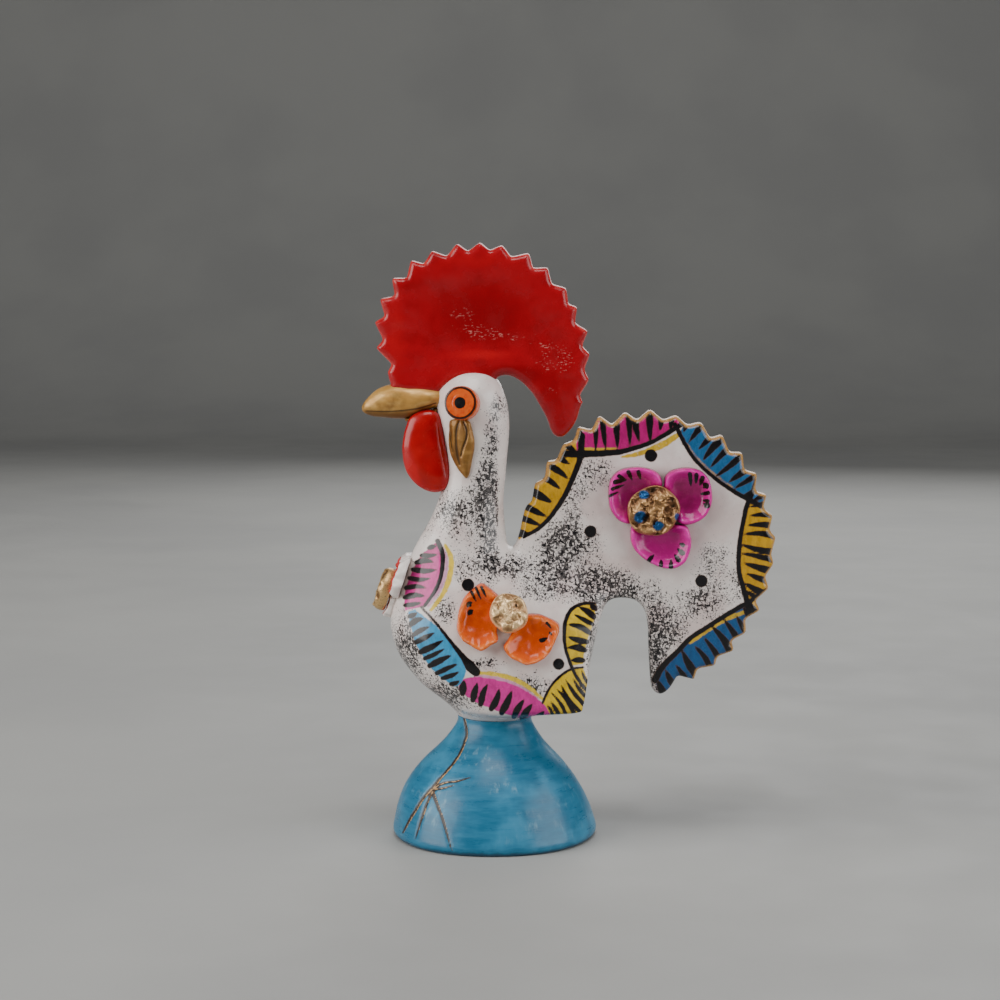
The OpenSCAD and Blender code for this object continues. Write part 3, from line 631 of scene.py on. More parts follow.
# Height, front, back, half width, where it is widest, rear half width, rear round, squareness,
# and 1 for trunk or 0 for neck
ROWS = [
    [0, -BASE_NECK_R, BASE_NECK_R, BASE_NECK_R, 0, 0.6 * BASE_NECK_R, 2.5, 2, 0],
    [2.5, -14.2, 17.8, HALF - 7, 2, HALF - 10.5, 1, 2, 0.6],
    [4.5, -16.3, 23.2, HALF - 2, 5, HALF - 5, -4.5, 2, 1],
    [7, -19.2, 26.2, HALF - 0.3, 6, HALF - 4.5, -3.5, 2, 1],
    [11, -24.3, 29.4, HALF, 5, HALF - 5, -1, 2.1, 1],
    [16, -28.8, 31.8, HALF, 3, HALF - 6, 0.8, 2.25, 1],
    [22, -32.8, 33, HALF - 0.5, 0, HALF - 7, 1.8, 2.4, 1],
    [29, -35.1, 34.7, HALF - 1.9, -4, HALF - 8.5, 3, 2.4, 1],
    [34, -35.3, 35.8, HALF - 3.5, -6, HALF - 11.5, 2.2, 2.3, 1],
    [RUMP[1], -34.9, RUMP[0], HALF - 4.9, -7, RUMP_HALF, 0, 2.25, 1],
    [41, -34, saddle_x(41), HALF - 6.4, -8, saddle_half(41), 0, 2.2, 1],
    [45, -32.7, saddle_x(45), HALF - 8.1, -9, saddle_half(45), 0, 2.1, 1],
    [49.5, -30.8, saddle_x(49.5), HALF - 10.1, -10, saddle_half(49.5), 0, 2, 1],
    [53.5, -29, saddle_x(53.5), HALF - 11.8, -10.5, saddle_half(53.5), 0, 2, 1],
    [NAPE[1], -27.5, NAPE[0], NECK + 2.6, -11, NAPE_HALF, 0, 2, 1],
    [59.5, -26, 4.3, NECK + 2, -10.8, 6, 2, 2, 0.5],
    [63, -24, 3.7, NECK + 1.4, -10, 6, 2, 2, 0],
    [69, -21, 3.2, NECK + 0.7, -9, 6, 2, 2, 0],
    [75.5, -18.5, 3.1, NECK + 0.1, -7.8, 6, 2, 2, 0],
    [82, -16.5, 3.7, NECK, -6.6, 6, 2, 2, 0],
    [89, -16.7, 4.3, NECK + 0.1, -6, 6, 2, 2, 0],
    [96, -17.8, 4.9, HEAD - 0.9, -6.2, 6, 2, 2, 0],
    [102, -19.1, 4.8, HEAD - 0.1, -7, 6, 2, 2, 0],
    [106.5, -19.5, 4.2, HEAD, -7.6, 6, 2, 2, 0],
    [110.5, -18.9, 3, HEAD - 0.8, -8, 6, 2, 2, 0],
    [113.5, -16.4, 1.8, HEAD - 2.8, -8, 6, 2, 2, 0],
    [115.8, -13.2, -0.5, HEAD - 5, -7.6, 6, 2, 2, 0],
    [117, -10.5, -3.5, HEAD - 8.2, -7.2, 6, 2, 2, 0]]
LEVELS = smooth(ROWS, 40)


def level(h):
    r = [np.interp(h, LEVELS[:, 0], LEVELS[:, i]) for i in range(9)]
    if np.ndim(h) == 0 and RUMP[1] < h < NAPE[1]:
        r[2] = saddle_x(h)
    return r


def ring(h, count):
    """A level ring of the trunk, neck or head."""
    _, front, back, wide, mid, rear, rounding, square, trunk = level(h)
    turn = np.linspace(0, 360, count, endpoint=False)
    a = np.where(turn <= 180, turn, 360 - turn)
    cos, sin = np.cos(np.radians(a)), np.sin(np.radians(a))
    reach = np.where(a < 90, mid - front, back - mid)
    power = np.where(a < 90, 2 / square, 1.0)
    oval = np.stack([mid - reach * np.sign(cos) * np.abs(cos) ** power, -wide * np.abs(sin) ** power], 1)
    t = np.clip((a - 90) / (REAR_CORNER - 90), 0, 1)
    flank = np.stack([mix(mid, back - rounding, t), mix(-wide, -rear, t ** 2)], 1)
    e = (180 - a) / (180 - REAR_CORNER)
    behind = np.stack([back - rounding * e * e, -rear * e], 1)
    body = np.where((a <= 90)[:, None], oval, np.where((a <= REAR_CORNER)[:, None], flank, behind))
    xy = mix(oval, body, trunk)
    return np.column_stack([xy[:, 0], np.where(turn <= 180, xy[:, 1], -xy[:, 1]), np.full(count, h)])


def side(x, h):
    """Half the thickness of the trunk, neck or head at x and h."""
    _, front, back, wide, mid, rear, rounding, square, trunk = level(np.asarray(h, float))
    x = np.asarray(x, float)
    ahead = np.maximum(0, 1 - np.maximum(0, (mid - x) / (mid - front)) ** square) ** (1 / square)
    behind = np.sqrt(np.maximum(0, 1 - np.maximum(0, (x - mid) / (back - mid)) ** 2))
    corner = back - rounding
    flank = mix(wide, rear, np.maximum(0, (x - mid) / (corner - mid)) ** 2)
    return np.where(x < mid, wide * ahead, mix(wide * behind, np.where(x > corner, 0, flank), trunk))


def front_x(y, h):
    """Front of the chest or the face at y and h."""
    _, front, _, wide, mid, _, _, square, _ = level(np.asarray(h, float))
    return mid - (mid - front) * np.maximum(0, 1 - np.minimum(1, np.abs(y) / wide) ** square) ** (1 / square)


def on_flank(pixels, stand):
    """(x, h) of pixels on the flank's surface, or a little in front of it."""
    y = -20.0
    for _ in range(5):
        xh = on_plane(pixels, y)
        y = -side(xh[:, 0], xh[:, 1]) - stand
    return xh


AROUND = 256
VENT_R = BASE_NECK_R - BASE_WALL
VENT_DEEP = 12.0


def trunk():
    heights = np.concatenate([np.linspace(0, 8, 26), np.linspace(8.5, 112, 200), np.linspace(112.3, 117, 24)])
    turn = np.radians(np.linspace(0, 360, AROUND, endpoint=False))
    disc = np.column_stack([-np.cos(turn), -np.sin(turn), 0 * turn])
    hole = [(0.4, VENT_DEEP), (VENT_R - 1, VENT_DEEP), (VENT_R, VENT_DEEP - 1), (VENT_R, 0.6),
            (VENT_R + 0.5, 0)]
    vent = [disc * [r, r, 1] + [0, 0, h] for r, h in hole]
    rings = [ring(h, AROUND) for h in heights]
    top = rings[-1]
    crown = [mix(top, top.mean(0), s) + [0, 0, lift] for s, lift in [(0.35, 0.35), (0.7, 0.55), (0.97, 0.6)]]
    return skin("trunk", raised(vent + rings + crown))


# Slabs of clay with an outline in a plane: the tail fan, the comb and the wattles

EDGE_STEPS = [0.06, 0.2, 0.45, 0.85, 1.35]
SPACING = 0.42
INSIDE = 0.85


def slab(name, outline, half_at, middle_y=0.0):
    """A slab with an outline of (x, h), half_at(points, distance from the outline) thick each way."""
    loop = np.array(outline, float)
    loop = np.concatenate([loop, loop[:1]])
    length = np.sum(np.linalg.norm(np.diff(loop, axis=0), axis=1))
    loop = evenly(loop, int(length / SPACING))[:-1]
    after, before = np.roll(loop, -1, 0), np.roll(loop, 1, 0)
    normal = (after - before)[:, ::-1] * [-1, 1]
    normal /= np.maximum(np.linalg.norm(normal, axis=1), 1e-6)[:, None]
    if from_shape(loop[:1] + 0.05 * normal[:1], loop)[0] > 0:
        normal = -normal
    inner = []
    for step in EDGE_STEPS:
        ring_points = loop + step * normal
        inner.append(ring_points[from_shape(ring_points, loop) < -0.8 * step])
    low, high = loop.min(0), loop.max(0)
    grid = np.stack(np.meshgrid(*[np.arange(a, b, INSIDE) for a, b in zip(low, high)]), -1).reshape(-1, 2)
    inner.append(grid[from_shape(grid, loop) < -EDGE_STEPS[-1] - 0.4])
    flat = np.concatenate([loop] + inner)
    border = list(range(len(loop)))
    found, _, faces, *_ = delaunay_2d_cdt([Vector(p) for p in flat], [], [border], 1, 1e-5)
    flat = np.array([tuple(p) for p in found])
    d = np.maximum(-from_shape(flat, loop), 0)
    half = half_at(flat, d)
    edge = d < 1e-3
    far = np.where(edge, np.arange(len(flat)), len(flat) + np.cumsum(~edge) - 1)
    near_points = np.column_stack([flat[:, 0], -middle_y - np.where(edge, 0, half), flat[:, 1]])
    far_points = np.column_stack([flat[:, 0], -middle_y + half, flat[:, 1]])[~edge]
    a, b, c = (flat[[f[i] for f in faces]] for i in range(3))
    turned = (b - a)[:, 0] * (c - a)[:, 1] - (b - a)[:, 1] * (c - a)[:, 0] < 0
    faces = [list(f)[::-1] if t else list(f) for f, t in zip(faces, turned)]
    faces += [[int(far[i]) for i in f[::-1]] for f in faces]
    return new_object(name, raised(np.concatenate([near_points, far_points])), faces)


TOOTH_STEPS = 7


def toothed(tips, valleys):
    """Outline over teeth at pixels, with slightly hollow sides, from the first tip to the last."""
    tips, valleys = on_plane(tips), on_plane(valleys)
    line = [tips[0]]
    for tip, valley in zip(tips[1:], valleys):
        line += [valley, tip]
    t = np.linspace(0, 1, TOOTH_STEPS, endpoint=False)
    t = t - 0.08 * np.sin(2 * np.pi * t)
    out = [a + (b - a) * t[:, None] for a, b in zip(np.array(line[:-1]), np.array(line[1:]))]
    line = np.concatenate(out + [line[-1:]])
    for _ in range(3):
        line[1:-1] = 0.5 * line[1:-1] + 0.25 * (line[:-2] + line[2:])
    return line


def from_teeth(points, teeth):
    return from_segments(upright(points), teeth[:-1], teeth[1:])[0]


def rounded(d, r, power=2.5):
    """Share of the full thickness at a distance from the outline."""
    return (1 - (1 - np.clip(d / r, 0, 1)) ** power) ** (1 / power)


TAIL_TIPS = [
    (535, 483), (547, 461), (563, 444), (578, 426), (599, 415), (625, 411), (650, 408.5), (676, 414.5),
    (701, 421.5), (722, 434), (742, 452), (757, 473), (767, 494), (773, 515), (776, 537), (774, 563),
    (769, 588), (760, 610), (746, 632), (734, 650), (715, 665), (694, 679)]
TAIL_VALLEYS = [
    (545, 478), (557, 460), (574, 440), (592, 430), (612, 425), (637, 420), (663, 420), (687, 425),
    (710, 438), (729, 452), (744, 470), (755, 491), (763, 508), (769, 530), (771, 554), (765, 576),
    (755, 600), (745, 618), (731, 640), (717, 656), (697, 668)]
TAIL_FRONT = [(6.0, 56.9), (7.2, 59.4), (8.5, 63), (9.3, 67), (10.6, 71.5), (12.8, 73.4)]
TAIL_LOW = [
    (62.4, 14.2), (60.8, 11.3), (59.4, 9.2), (57.6, 7.7), (56, 7.3), (54.6, 7.9)]
TAIL_ARCH = [
    (37.2, 38.4), (40, 40), (43.5, 40.4), (47, 39.8), (49.8, 37.8), (51.4, 34.6), (52, 30), (52.1, 25),
    (52.4, 19), (52.8, 13), (53.2, 10), (54.2, 8.3)]
TAIL_SUNK = 4.5
TAIL_FRONT_LOW = 48
TAIL_EDGE = 2.5
SADDLE = RUMP - NAPE
SINK = TAIL_SUNK * np.array([SADDLE[1], -SADDLE[0]]) / np.linalg.norm(SADDLE)


def tail_fan():
    teeth = toothed(TAIL_TIPS, TAIL_VALLEYS)
    seat = [RUMP + SINK, NAPE + SINK]
    outline = np.concatenate([smooth(TAIL_FRONT, 5)[:-1], teeth, smooth(TAIL_LOW, 5)[1:],
                              smooth(TAIL_ARCH, 6)[::-1], seat])

    def half(p, d):
        above = (NAPE - p) @ SINK / TAIL_SUNK
        along = (p - NAPE) @ SADDLE / (SADDLE @ SADDLE)
        root = mix(NAPE_HALF, RUMP_HALF, np.clip(along, 0, 1)) - 0.4
        swell = ease(1 - above / 9) ** 1.5 * ease(1 - (along - 0.95) / 0.2)
        return mix(TAIL_HALF, root, swell) * rounded(d, TAIL_EDGE)
    return slab("tail_fan", outline, half)


VOXEL = 0.56


def body_and_tail():
    """Trunk and tail fan in one skin, since glaze hides the joint between them."""
    a, b = trunk(), tail_fan()
    with bpy.context.temp_override(active_object=a, object=a, selected_objects=[a, b],
                                   selected_editable_objects=[a, b]):
        bpy.ops.object.join()
    remesh = a.modifiers.new("one_skin", "REMESH")
    remesh.mode = "VOXEL"
    remesh.voxel_size = VOXEL * MM
    remesh.use_smooth_shade = True
    with bpy.context.temp_override(active_object=a, object=a, selected_objects=[a]):
        bpy.ops.object.modifier_apply(modifier=remesh.name)
    a.name = a.data.name = "body_and_tail"
    points = place_of(a)
    away = from_segments(upright(points), NAPE[None], RUMP[None])[0]
    seam = ease(1 - (away - 1.5) / 4.5)
    points = relax(points, edges_of(a), 0.9 * seam, 45)
    points = relax(points, edges_of(a), np.full(len(points), 0.5), 2)
    move_to(a, points)
    hand_made(a, amount=0.16, size=13, seed=3)
    shade_smooth(a)
    return a


# Paint of the body and the tail

# Each band: its paint, the dark line along its inner edge and that line's widths, its outer edge, the
# part of the inner edge that it follows, and its brush strokes' number, reach, width and lean
BANDS = [
    ("yellow", [(581.5, 436), (580.5, 456), (575, 473), (564.5, 496), (551.5, 515.5), (538.5, 528.5),
                (523.5, 537)],
     [6.5, 5, 4.4, 3.6, 3],
     [(578, 424), (560, 440), (544, 462), (532, 484), (523, 506), (517, 528), (519, 540)],
     (0, 1), (9, 0.86, 6.6, 0)),
    ("magenta", [(560, 453.5), (581, 454), (615.5, 452.5), (633, 448.5), (654, 441), (683, 423.5)],
     [6, 6.6, 5, 4.2, 3.6, 4.6],
     [(576, 420), (600, 408), (650, 402), (690, 412)], (0.18, 1), (10, 0.92, 6.4, 0.02)),
    ("blue", [(675, 424.5), (682, 438.5), (690.5, 453.5), (701.5, 466.5), (716.5, 479.5), (731.5, 490),
              (746.5, 498.5), (764, 507.5)],
     [3.6, 3.6, 3.2, 3, 3, 3.4, 4, 4.4],
     [(690, 412), (735, 436), (770, 480), (775, 500)], (0.1, 0.93), (10, 0.88, 6.2, 0)),
    ("yellow", [(757, 478.5), (752, 494), (746.5, 507), (742, 528.5), (739, 550), (739, 571.5), (744, 590.5),
                (749.8, 613)],
     [3.4, 4, 4, 3.8, 4, 4, 4.4, 6],
     [(775, 500), (782, 540), (775, 590), (757, 620)], (0.25, 0.93), (11, 0.9, 5.8, 0)),
    ("blue", [(768, 588.5), (753, 599.5), (738, 608), (720.5, 618.5), (703.5, 629.5), (690.5, 638),
              (678, 651), (663, 666), (655, 680)],
     [2.6, 3.4, 4.4, 4, 4, 4, 4.4, 5.4, 6],
     [(760, 625), (735, 660), (700, 680), (660, 697)], (0.15, 1), (10, 0.88, 6.4, 0.02)),
    ("magenta", [(437.5, 541), (442.5, 554), (441.8, 572), (436, 589), (424.5, 606)],
     [4.4, 4.2, 3.6, 3.4, 2.4],
     [(432, 545), (420, 557), (411, 573), (405, 592), (405, 611)], (0, 1), (8, 0.75, 4.6, 0)),
    ("blue", [(414.6, 609), (436, 626), (450.5, 642), (461, 658), (466, 671), (461, 684)],
     None,
     [(408, 612), (412, 630), (417, 645.5), (425.5, 660), (437, 674), (455, 687)], (0, 1), (10, 0.8, 5.0, 0)),
    ("magenta", [(459, 680.6), (474, 677), (500, 680.6), (524, 690), (542.7, 703), (550, 714)],
     None,
     [(459, 690), (474, 701), (500, 712), (524, 719), (540, 721)], (0, 1), (8, 0.8, 6.6, 0)),
    ("yellow", [(595, 603.5), (584, 603.5), (572.5, 608.5), (566, 619.5), (564.2, 634), (565.2, 647),
                (569, 660), (576, 676), (585.5, 689)],
     [1.8, 2.6, 3.2, 3.4, 3.2, 2.8, 2.6, 2.4, 2.2],
     [(596, 604), (594, 620), (589, 636), (585, 650), (583, 664)], (0, 0.78), (7, 0.82, 5.2, 0)),
    ("yellow", [(542.5, 703), (548.5, 690), (557.5, 678.5), (570.5, 669.5), (583, 667.5)],
     [1.6, 1.8, 2, 1.8, 1.4],
     [(549, 717), (560, 718), (572, 717), (583, 711), (588, 699), (588, 680)], (0, 1), (9, 0.8, 3.2, 0)),
]
LINES = [
    ("ink", [(421, 607), (436, 623), (451, 642), (463, 657), (470, 666), (476, 672)],
     [1.6, 2, 2.8, 5, 10, 8]),
    ("accent", [(584, 449), (600, 449.5), (618, 448)], [3.4, 3.4, 1.5]),
    ("accent", [(622, 457), (640, 453.5), (660, 446), (678, 435)], [2, 5, 7, 5]),
    ("accent", [(745, 612), (724, 620), (706, 631), (690, 643)], [4, 5, 5, 3]),
    ("accent", [(445, 545), (451, 558), (450, 575), (443.5, 593), (431, 610)], [3, 5, 5.5, 5, 3]),
    ("accent", [(474, 672.5), (500, 675), (524, 684), (542.5, 699)], [3, 4.6, 4.8, 3]),
    ("lilac", [(441, 546), (446, 558), (445.5, 574), (439, 591), (428, 606)], [3, 4, 4, 4, 2]),
    ("lilac", [(476, 676), (499, 679), (521, 688), (538, 699)], [3, 5, 5, 3]),
    ("ochre", [(686, 443), (700, 461), (716, 475.5), (733, 488)], [1.4, 1.8, 1.8, 1.4])]
DOTS = [(651, 455.5, 6), (590.5, 531.5, 5.8), (701.5, 581, 5.8), (468, 585, 6), (558.7, 664, 5.3)]
# Where the flecks are, and where none are: centre, reach across and down, and how dense
FLECKS = [
    (489, 524, 10, 42, 0.95), (455, 512, 24, 22, 0.65), (422, 529, 10, 13, 0.3), (503, 566, 24, 13, 0.8),
    (462, 566, 17, 20, 0.45), (558, 550, 14, 22, 0.85), (600, 586, 22, 15, 0.8), (549, 577, 28, 22, 0.6),
    (524, 597, 34, 12, 0.4), (446, 612, 12, 17, 0.7), (487, 662, 18, 9, 0.65), (527, 687, 26, 12, 0.7),
    (407, 650, 18, 36, 0.9), (440, 697, 36, 18, 0.85), (593, 647, 8, 40, 0.7), (597, 475, 22, 20, 0.65),
    (573, 505, 13, 24, 0.5), (580, 541, 38, 20, 0.6), (616, 590, 38, 22, 0.8), (655, 648, 11, 44, 1.3),
    (675, 630, 12, 17, 0.7), (711, 556, 22, 32, 0.62), (703, 603, 26, 18, 0.6), (739, 585, 6, 20, 0.5),
    (686, 443, 8, 7, 0.5), (498, 408, 10, 15, 0.6), (494, 438, 13, 16, 0.5), (488, 487, 15, 34, 0.75),
    (661, 512, 50, 46, -1.1), (462, 430, 14, 30, -0.8), (502, 500, 4, 60, -0.8), (508, 628, 46, 26, -0.8)]


RIM_WIDE = 0.85
# The rump's back: how deep it is, how far in from the corners it starts, its top, and its soft edge
REAR_DEEP, REAR_IN, REAR_TOP, REAR_SOFT = 5, 0.5, 42, 3
# Paint is brighter on the flanks, from this far out, and painted shade deepens the blue low on the tail
FLANK_FROM, FLANK_SOFT = 7, 4
LOW_TOP, LOW_SOFT = 62, 30
# Flecks: how much denser than the spots say, the most, the least, and how dense on the rump's back
FLECK_GAIN, FLECK_MOST, FLECK_LEAST, FLECK_REAR = 1.4, 1.3, 0.14, 0.4
# How far the rump's back pushes the bands' paint away, in pixels
PUSHED = 12


def blobs(at, spots):
    """Sum of soft round spots: centre, reach across and down, and height."""
    return sum(amount * np.exp(-(((at[:, 0] - x) / rx) ** 2 + ((at[:, 1] - y) / ry) ** 2))
               for x, y, rx, ry, amount in spots)


def rump_back(x, h, across):
    """1 on the rump's back between its corners, and 0 elsewhere."""
    _, _, back, _, _, rear, *_ = level(h)
    deep = ease((x - back + REAR_DEEP) / REAR_SOFT) * (x < TAIL_FRONT_LOW)
    return deep * ease((rear - REAR_IN - across) / 2) * ease((REAR_TOP - h) / REAR_SOFT)


def paint_body(obj):
    points = place_of(obj)
    paint = Paint(points)
    for seed, (layer, inner, widths, outer, (start, end), (count, reach, width, lean)) in enumerate(BANDS):
        if widths:
            paint.line("ink", inner, widths)
        edge = smooth(inner, 6)
        edge = edge[int(start * len(edge)):int(end * len(edge)) + 1]
        paint.fill(layer, np.concatenate([edge, smooth(outer, 6)[::-1]]))
        paint.strokes("ink", outer, edge, count, reach, width, lean, np.random.default_rng(seed + 1))
    for layer, line, widths in LINES:
        paint.line(layer, line, widths)
    for x, y, r in DOTS:
        paint.dot("ink", np.array([x, y]), r)
    # A worn gold rim runs along the teeth and round the fan's edge
    paint.layers["rim"] = 3 * (from_teeth(points, toothed(TAIL_TIPS, TAIL_VALLEYS)) - RIM_WIDE)
    # The bands end at the rump's corners, and its back is left white with flecks
    (x, h), across = upright(points).T, np.abs(points[:, 1])
    behind = rump_back(x, h, across)
    for name in ("yellow", "ink"):
        paint.layers[name] += PUSHED * behind
    paint.store(obj)
    flecks = np.clip(FLECK_GAIN * blobs(paint.at, FLECKS), 0, FLECK_MOST) + FLECK_LEAST
    store(obj, "flecks", np.maximum(flecks, FLECK_REAR * behind))
    store(obj, "wing", ease((across - FLANK_FROM) / FLANK_SOFT))
    # Where painted shade deepens the tail's blue
    store(obj, "low", ease((LOW_TOP - h) / LOW_SOFT))
    coated(obj, painted_glaze())


# Comb

COMB_TIPS = [
    (388, 372), (376, 348), (374, 322), (380, 299), (392, 278), (411, 260), (432, 250), (457, 243),
    (480, 241.5), (502, 245), (529, 253), (548, 267), (566, 288), (577, 307), (588, 331), (590, 354),
    (589, 380), (583, 402)]
COMB_VALLEYS = [
    (392, 364), (383, 340), (385, 316), (395, 296), (407, 278), (424, 264), (447, 256), (468, 251),
    (490, 250), (511, 257), (533, 268), (552, 284), (568, 304), (575, 323), (582, 346), (584, 369),
    (580, 395)]
COMB_START = [(391, 383.5), (389, 378)]
COMB_LOBE = [
    (580, 409), (577, 419), (572, 428), (565, 435.5), (559, 437), (554, 434.5), (550, 428)]
COMB_ARCH = [
    (497, 378), (503, 375.5), (511, 376), (519, 380), (526, 386), (533, 394), (540, 406), (545, 415),
    (548.5, 423)]
COMB_SEAT = [
    (391, 384), (402, 388), (414, 390), (428, 391), (437, 392), (443, 387.5), (452, 380), (462, 375.5),
    (475, 376), (487, 380), (497, 381)]
COMB_LAP = 1.3
COMB_EDGE = 2.6
SCRATCHED = [
    (462, 312, 20, 10, 0.8), (475, 332, 28, 12, 0.75), (512, 338, 28, 8, 0.6), (545, 365, 16, 16, 0.8),
    (567, 362, 10, 14, 0.8), (553, 345, 20, 8, 0.6), (552, 390, 10, 6, 0.6)]
# Painted shade on the comb where the amount is above zero, and painted light where it is below zero
COMB_PAINTED_SHADING = [
    (480, 315, 52, 34, 0.9), (512, 375, 30, 9, 1.3), (555, 400, 26, 30, 0.4), (480, 354, 34, 8, -0.9),
    (395, 330, 16, 50, -0.5), (480, 262, 90, 12, -0.4)]
COMB_REDS = [(0.5, 0.004, 0.01), (0.37, 0.003, 0.009), (0.24, 0.002, 0.006)]
WATTLE_REDS = [(0.5, 0.003, 0.005), (0.42, 0.002, 0.004), (0.28, 0.0015, 0.003)]


def comb():
    teeth = toothed(COMB_TIPS, COMB_VALLEYS)
    lobe = smooth(on_plane([COMB_TIPS[-1]] + COMB_LOBE), 5)[1:]
    arch = smooth(on_plane(COMB_ARCH), 6)[::-1]
    seat = smooth(on_plane(COMB_SEAT), 6)[::-1] - [0, COMB_LAP]

    def half(p, d):
        lobe_end = 0.5 * ease((p[:, 0] - 14) / 12) * ease((112 - p[:, 1]) / 14)
        return (COMB_HALF - 0.5 * ease((d - 3) / 10) - lobe_end) * rounded(d, COMB_EDGE)
    obj = slab("comb", np.concatenate([on_plane(COMB_START), teeth, lobe, arch, seat]), half)
    hand_made(obj, amount=0.22, size=10, seed=5)
    points = place_of(obj)
    at = seen_at(points)
    store(obj, "worn", np.clip(blobs(at, SCRATCHED), 0, 1))
    # Where the comb's red is darkened as painted shade or brightened as painted light
    store(obj, "painted_shading", np.clip(blobs(at, COMB_PAINTED_SHADING), -1, 1))
    store(obj, "rim", from_teeth(points, teeth))
    return coated(obj, red_enamel("comb_enamel", COMB_REDS, True))


# Beak and wattles

FACE_H = 108.0
BEAK_L, BEAK_W = 25.2, 10.8
BEAK = [
    [0, 111.3, 105.2, 0.8], [0.18, 112.1, 103.8, 1], [0.4, 112.6, 101.5, 1], [0.6, 113.1, 101.4, 0.9],
    [0.75, 111.8, 101.7, 0.74], [0.87, 109.8, 102.2, 0.56], [0.95, 107.5, 102.9, 0.36],
    [0.99, 105.9, 103.7, 0.14]]
BEAK_LOW = [
    [0, 104.9, 0.5, 0.8], [0.3, 103.7, 0.8, 1], [0.6, 102.4, 0.8, 0.9], [0.85, 101.5, 0.6, 0.7],
    [1, 101.2, 0.3, 0.5]]
BEAK_LOW_T = 1.5
MOUTH = [(366, 411), (385, 411.5), (404, 410.5), (420, 408), (436, 403)]
BEAK_GOLDS = [(0.14, 0.055, 0.012), (0.5, 0.26, 0.06), (0.8, 0.5, 0.16)]
EAR_GOLDS = [(0.1, 0.04, 0.008), (0.25, 0.115, 0.022), (0.5, 0.27, 0.075)]
LOWER_SHARE = 0.42
BEAK_AROUND = 72


def beak_ring(share, tip, top, low, wide, size=1.0):
    """A ring at a share of the way from the face to the tip."""
    a = np.radians(np.linspace(0, 360, BEAK_AROUND, endpoint=False))
    y = size * wide * np.sin(a)
    h = (top + low) / 2 + size * (top - low) / 2 * np.cos(a)
    return np.stack([mix(front_x(y, h) + 0.4, tip, share), y, h], 1)


def beak_upper():
    tip = float(front_x(0, FACE_H)) - BEAK_L
    rows = smooth(BEAK, 14)
    first = rows[0]
    rings = [beak_ring(0, tip, first[1], first[2], BEAK_W / 2 * first[3], s) for s in (0.05, 0.5)]
    rings += [beak_ring(r[0], tip, r[1], r[2], BEAK_W / 2 * r[3]) for r in rows]
    last = rings[-1]
    rings.append(mix(last, last.mean(0), 0.6) - [0.25, 0, 0])
    obj = skin("beak_upper", raised(rings))
    hand_made(obj, amount=0.28, size=5, seed=7)
    points = place_of(obj)
    paint = Paint(points)
    paint.line("groove", MOUTH, [0.8, 1.2, 1.4, 1.4, 1])
    paint.store(obj)
    # Painted shade: the upper beak darkens towards its underside
    store(obj, "shade", ease((106 - points[:, 2] + BASE_H) / 4))
    return coated(obj, gold_paint("beak_gold", BEAK_GOLDS))


def beak_lower():
    tip = float(front_x(0, FACE_H)) - LOWER_SHARE * BEAK_L
    rows = smooth(BEAK_LOW, 12)
    first = rows[0]

    def one(r, size=1.0):
        return beak_ring(r[0], tip, r[1] + 0.3, r[1] - BEAK_LOW_T * r[3], BEAK_W / 2 * r[2], size)
    rings = [one(first, s) for s in (0.05, 0.5)] + [one(r) for r in rows]
    obj = skin("beak_lower", raised(rings))
    hand_made(obj, amount=0.12, size=3, seed=8)
    store(obj, "groove", FAR)
    # Painted shade: the lower beak is dark all over
    store(obj, "shade", 1)
    return coated(obj, bpy.data.materials["beak_gold"])


WATTLE = [
    (430, 410), (438.5, 414), (442, 422), (443.5, 434), (445.5, 446), (448.5, 459), (450.5, 471),
    (450.5, 481), (446, 488.5), (437, 492.5), (426, 490.5), (415.5, 484), (407.5, 474), (403.5, 463),
    (402, 450), (403, 438), (405.5, 427), (409.5, 418), (418, 412)]
WATTLE_Y, WATTLE_HALF, WATTLE_ROUND = 3.3, 3.15, 6.5


def wattle():
    outline = smooth_loop(on_plane(WATTLE, -WATTLE_Y - 1), 6)
    obj = slab("wattle_left", outline, lambda p, d: WATTLE_HALF * rounded(d, WATTLE_ROUND, 2.1), WATTLE_Y)
    hand_made(obj, amount=0.2, size=8, seed=9)
    return coated(obj, red_enamel("wattle_enamel", WATTLE_REDS, False))


# Eyes

EYE = [-10.4, 107.1]
EYE_TILT, EYE_TURN = math.radians(8), math.radians(-14)


def turned_out(local, tilt, turn):
    """Points of a pellet that lies on z = 0, stood up against a side that leans by tilt and turn."""
    a = math.pi / 2 - tilt
    x, y, z = local.T
    y, z = y * math.cos(a) - z * math.sin(a), y * math.sin(a) + z * math.cos(a)
    return np.stack([x * math.cos(turn) - y * math.sin(turn), x * math.sin(turn) + y * math.cos(turn), z], 1)


def lathe(profile, count=128):
    """Rings round z from (radius, height) points."""
    a = np.radians(np.linspace(0, 360, count, endpoint=False))
    return np.array([np.stack([r * np.cos(a), r * np.sin(a), np.full_like(a, z)], 1) for r, z in profile])


def eye():
    face = smooth([(EYE_R, -0.7), (EYE_R + 0.05, 0.5 * EYE_STAND), (EYE_R, EYE_STAND - 0.5),
                   (EYE_R - 0.35, EYE_STAND - 0.1), (EYE_R - 1.2, EYE_STAND), (EYE_R - 2.6, EYE_STAND + 0.06),
                   (2.4, EYE_STAND + 0.18), (0.05, EYE_STAND + 0.3)], 8)
    rings = lathe([(0.05, -0.4), (EYE_R * 0.7, -0.5)] + [tuple(p) for p in face])
    local = rings.reshape(-1, 3)
    placed = turned_out(local, EYE_TILT, EYE_TURN)
    placed += [EYE[0], -float(side(*EYE)), EYE[1]]
    obj = skin("eye_left", raised(placed.reshape(rings.shape)))
    r = np.hypot(local[:, 0] + 0.15, local[:, 1])
    store(obj, "from_pupil", np.where(local[:, 2] < EYE_STAND - 0.9, FAR, r))
    hand_made(obj, amount=0.12, size=4, seed=11)
    return coated(obj, eye_enamel())


# Petals, ear lobes and buttons

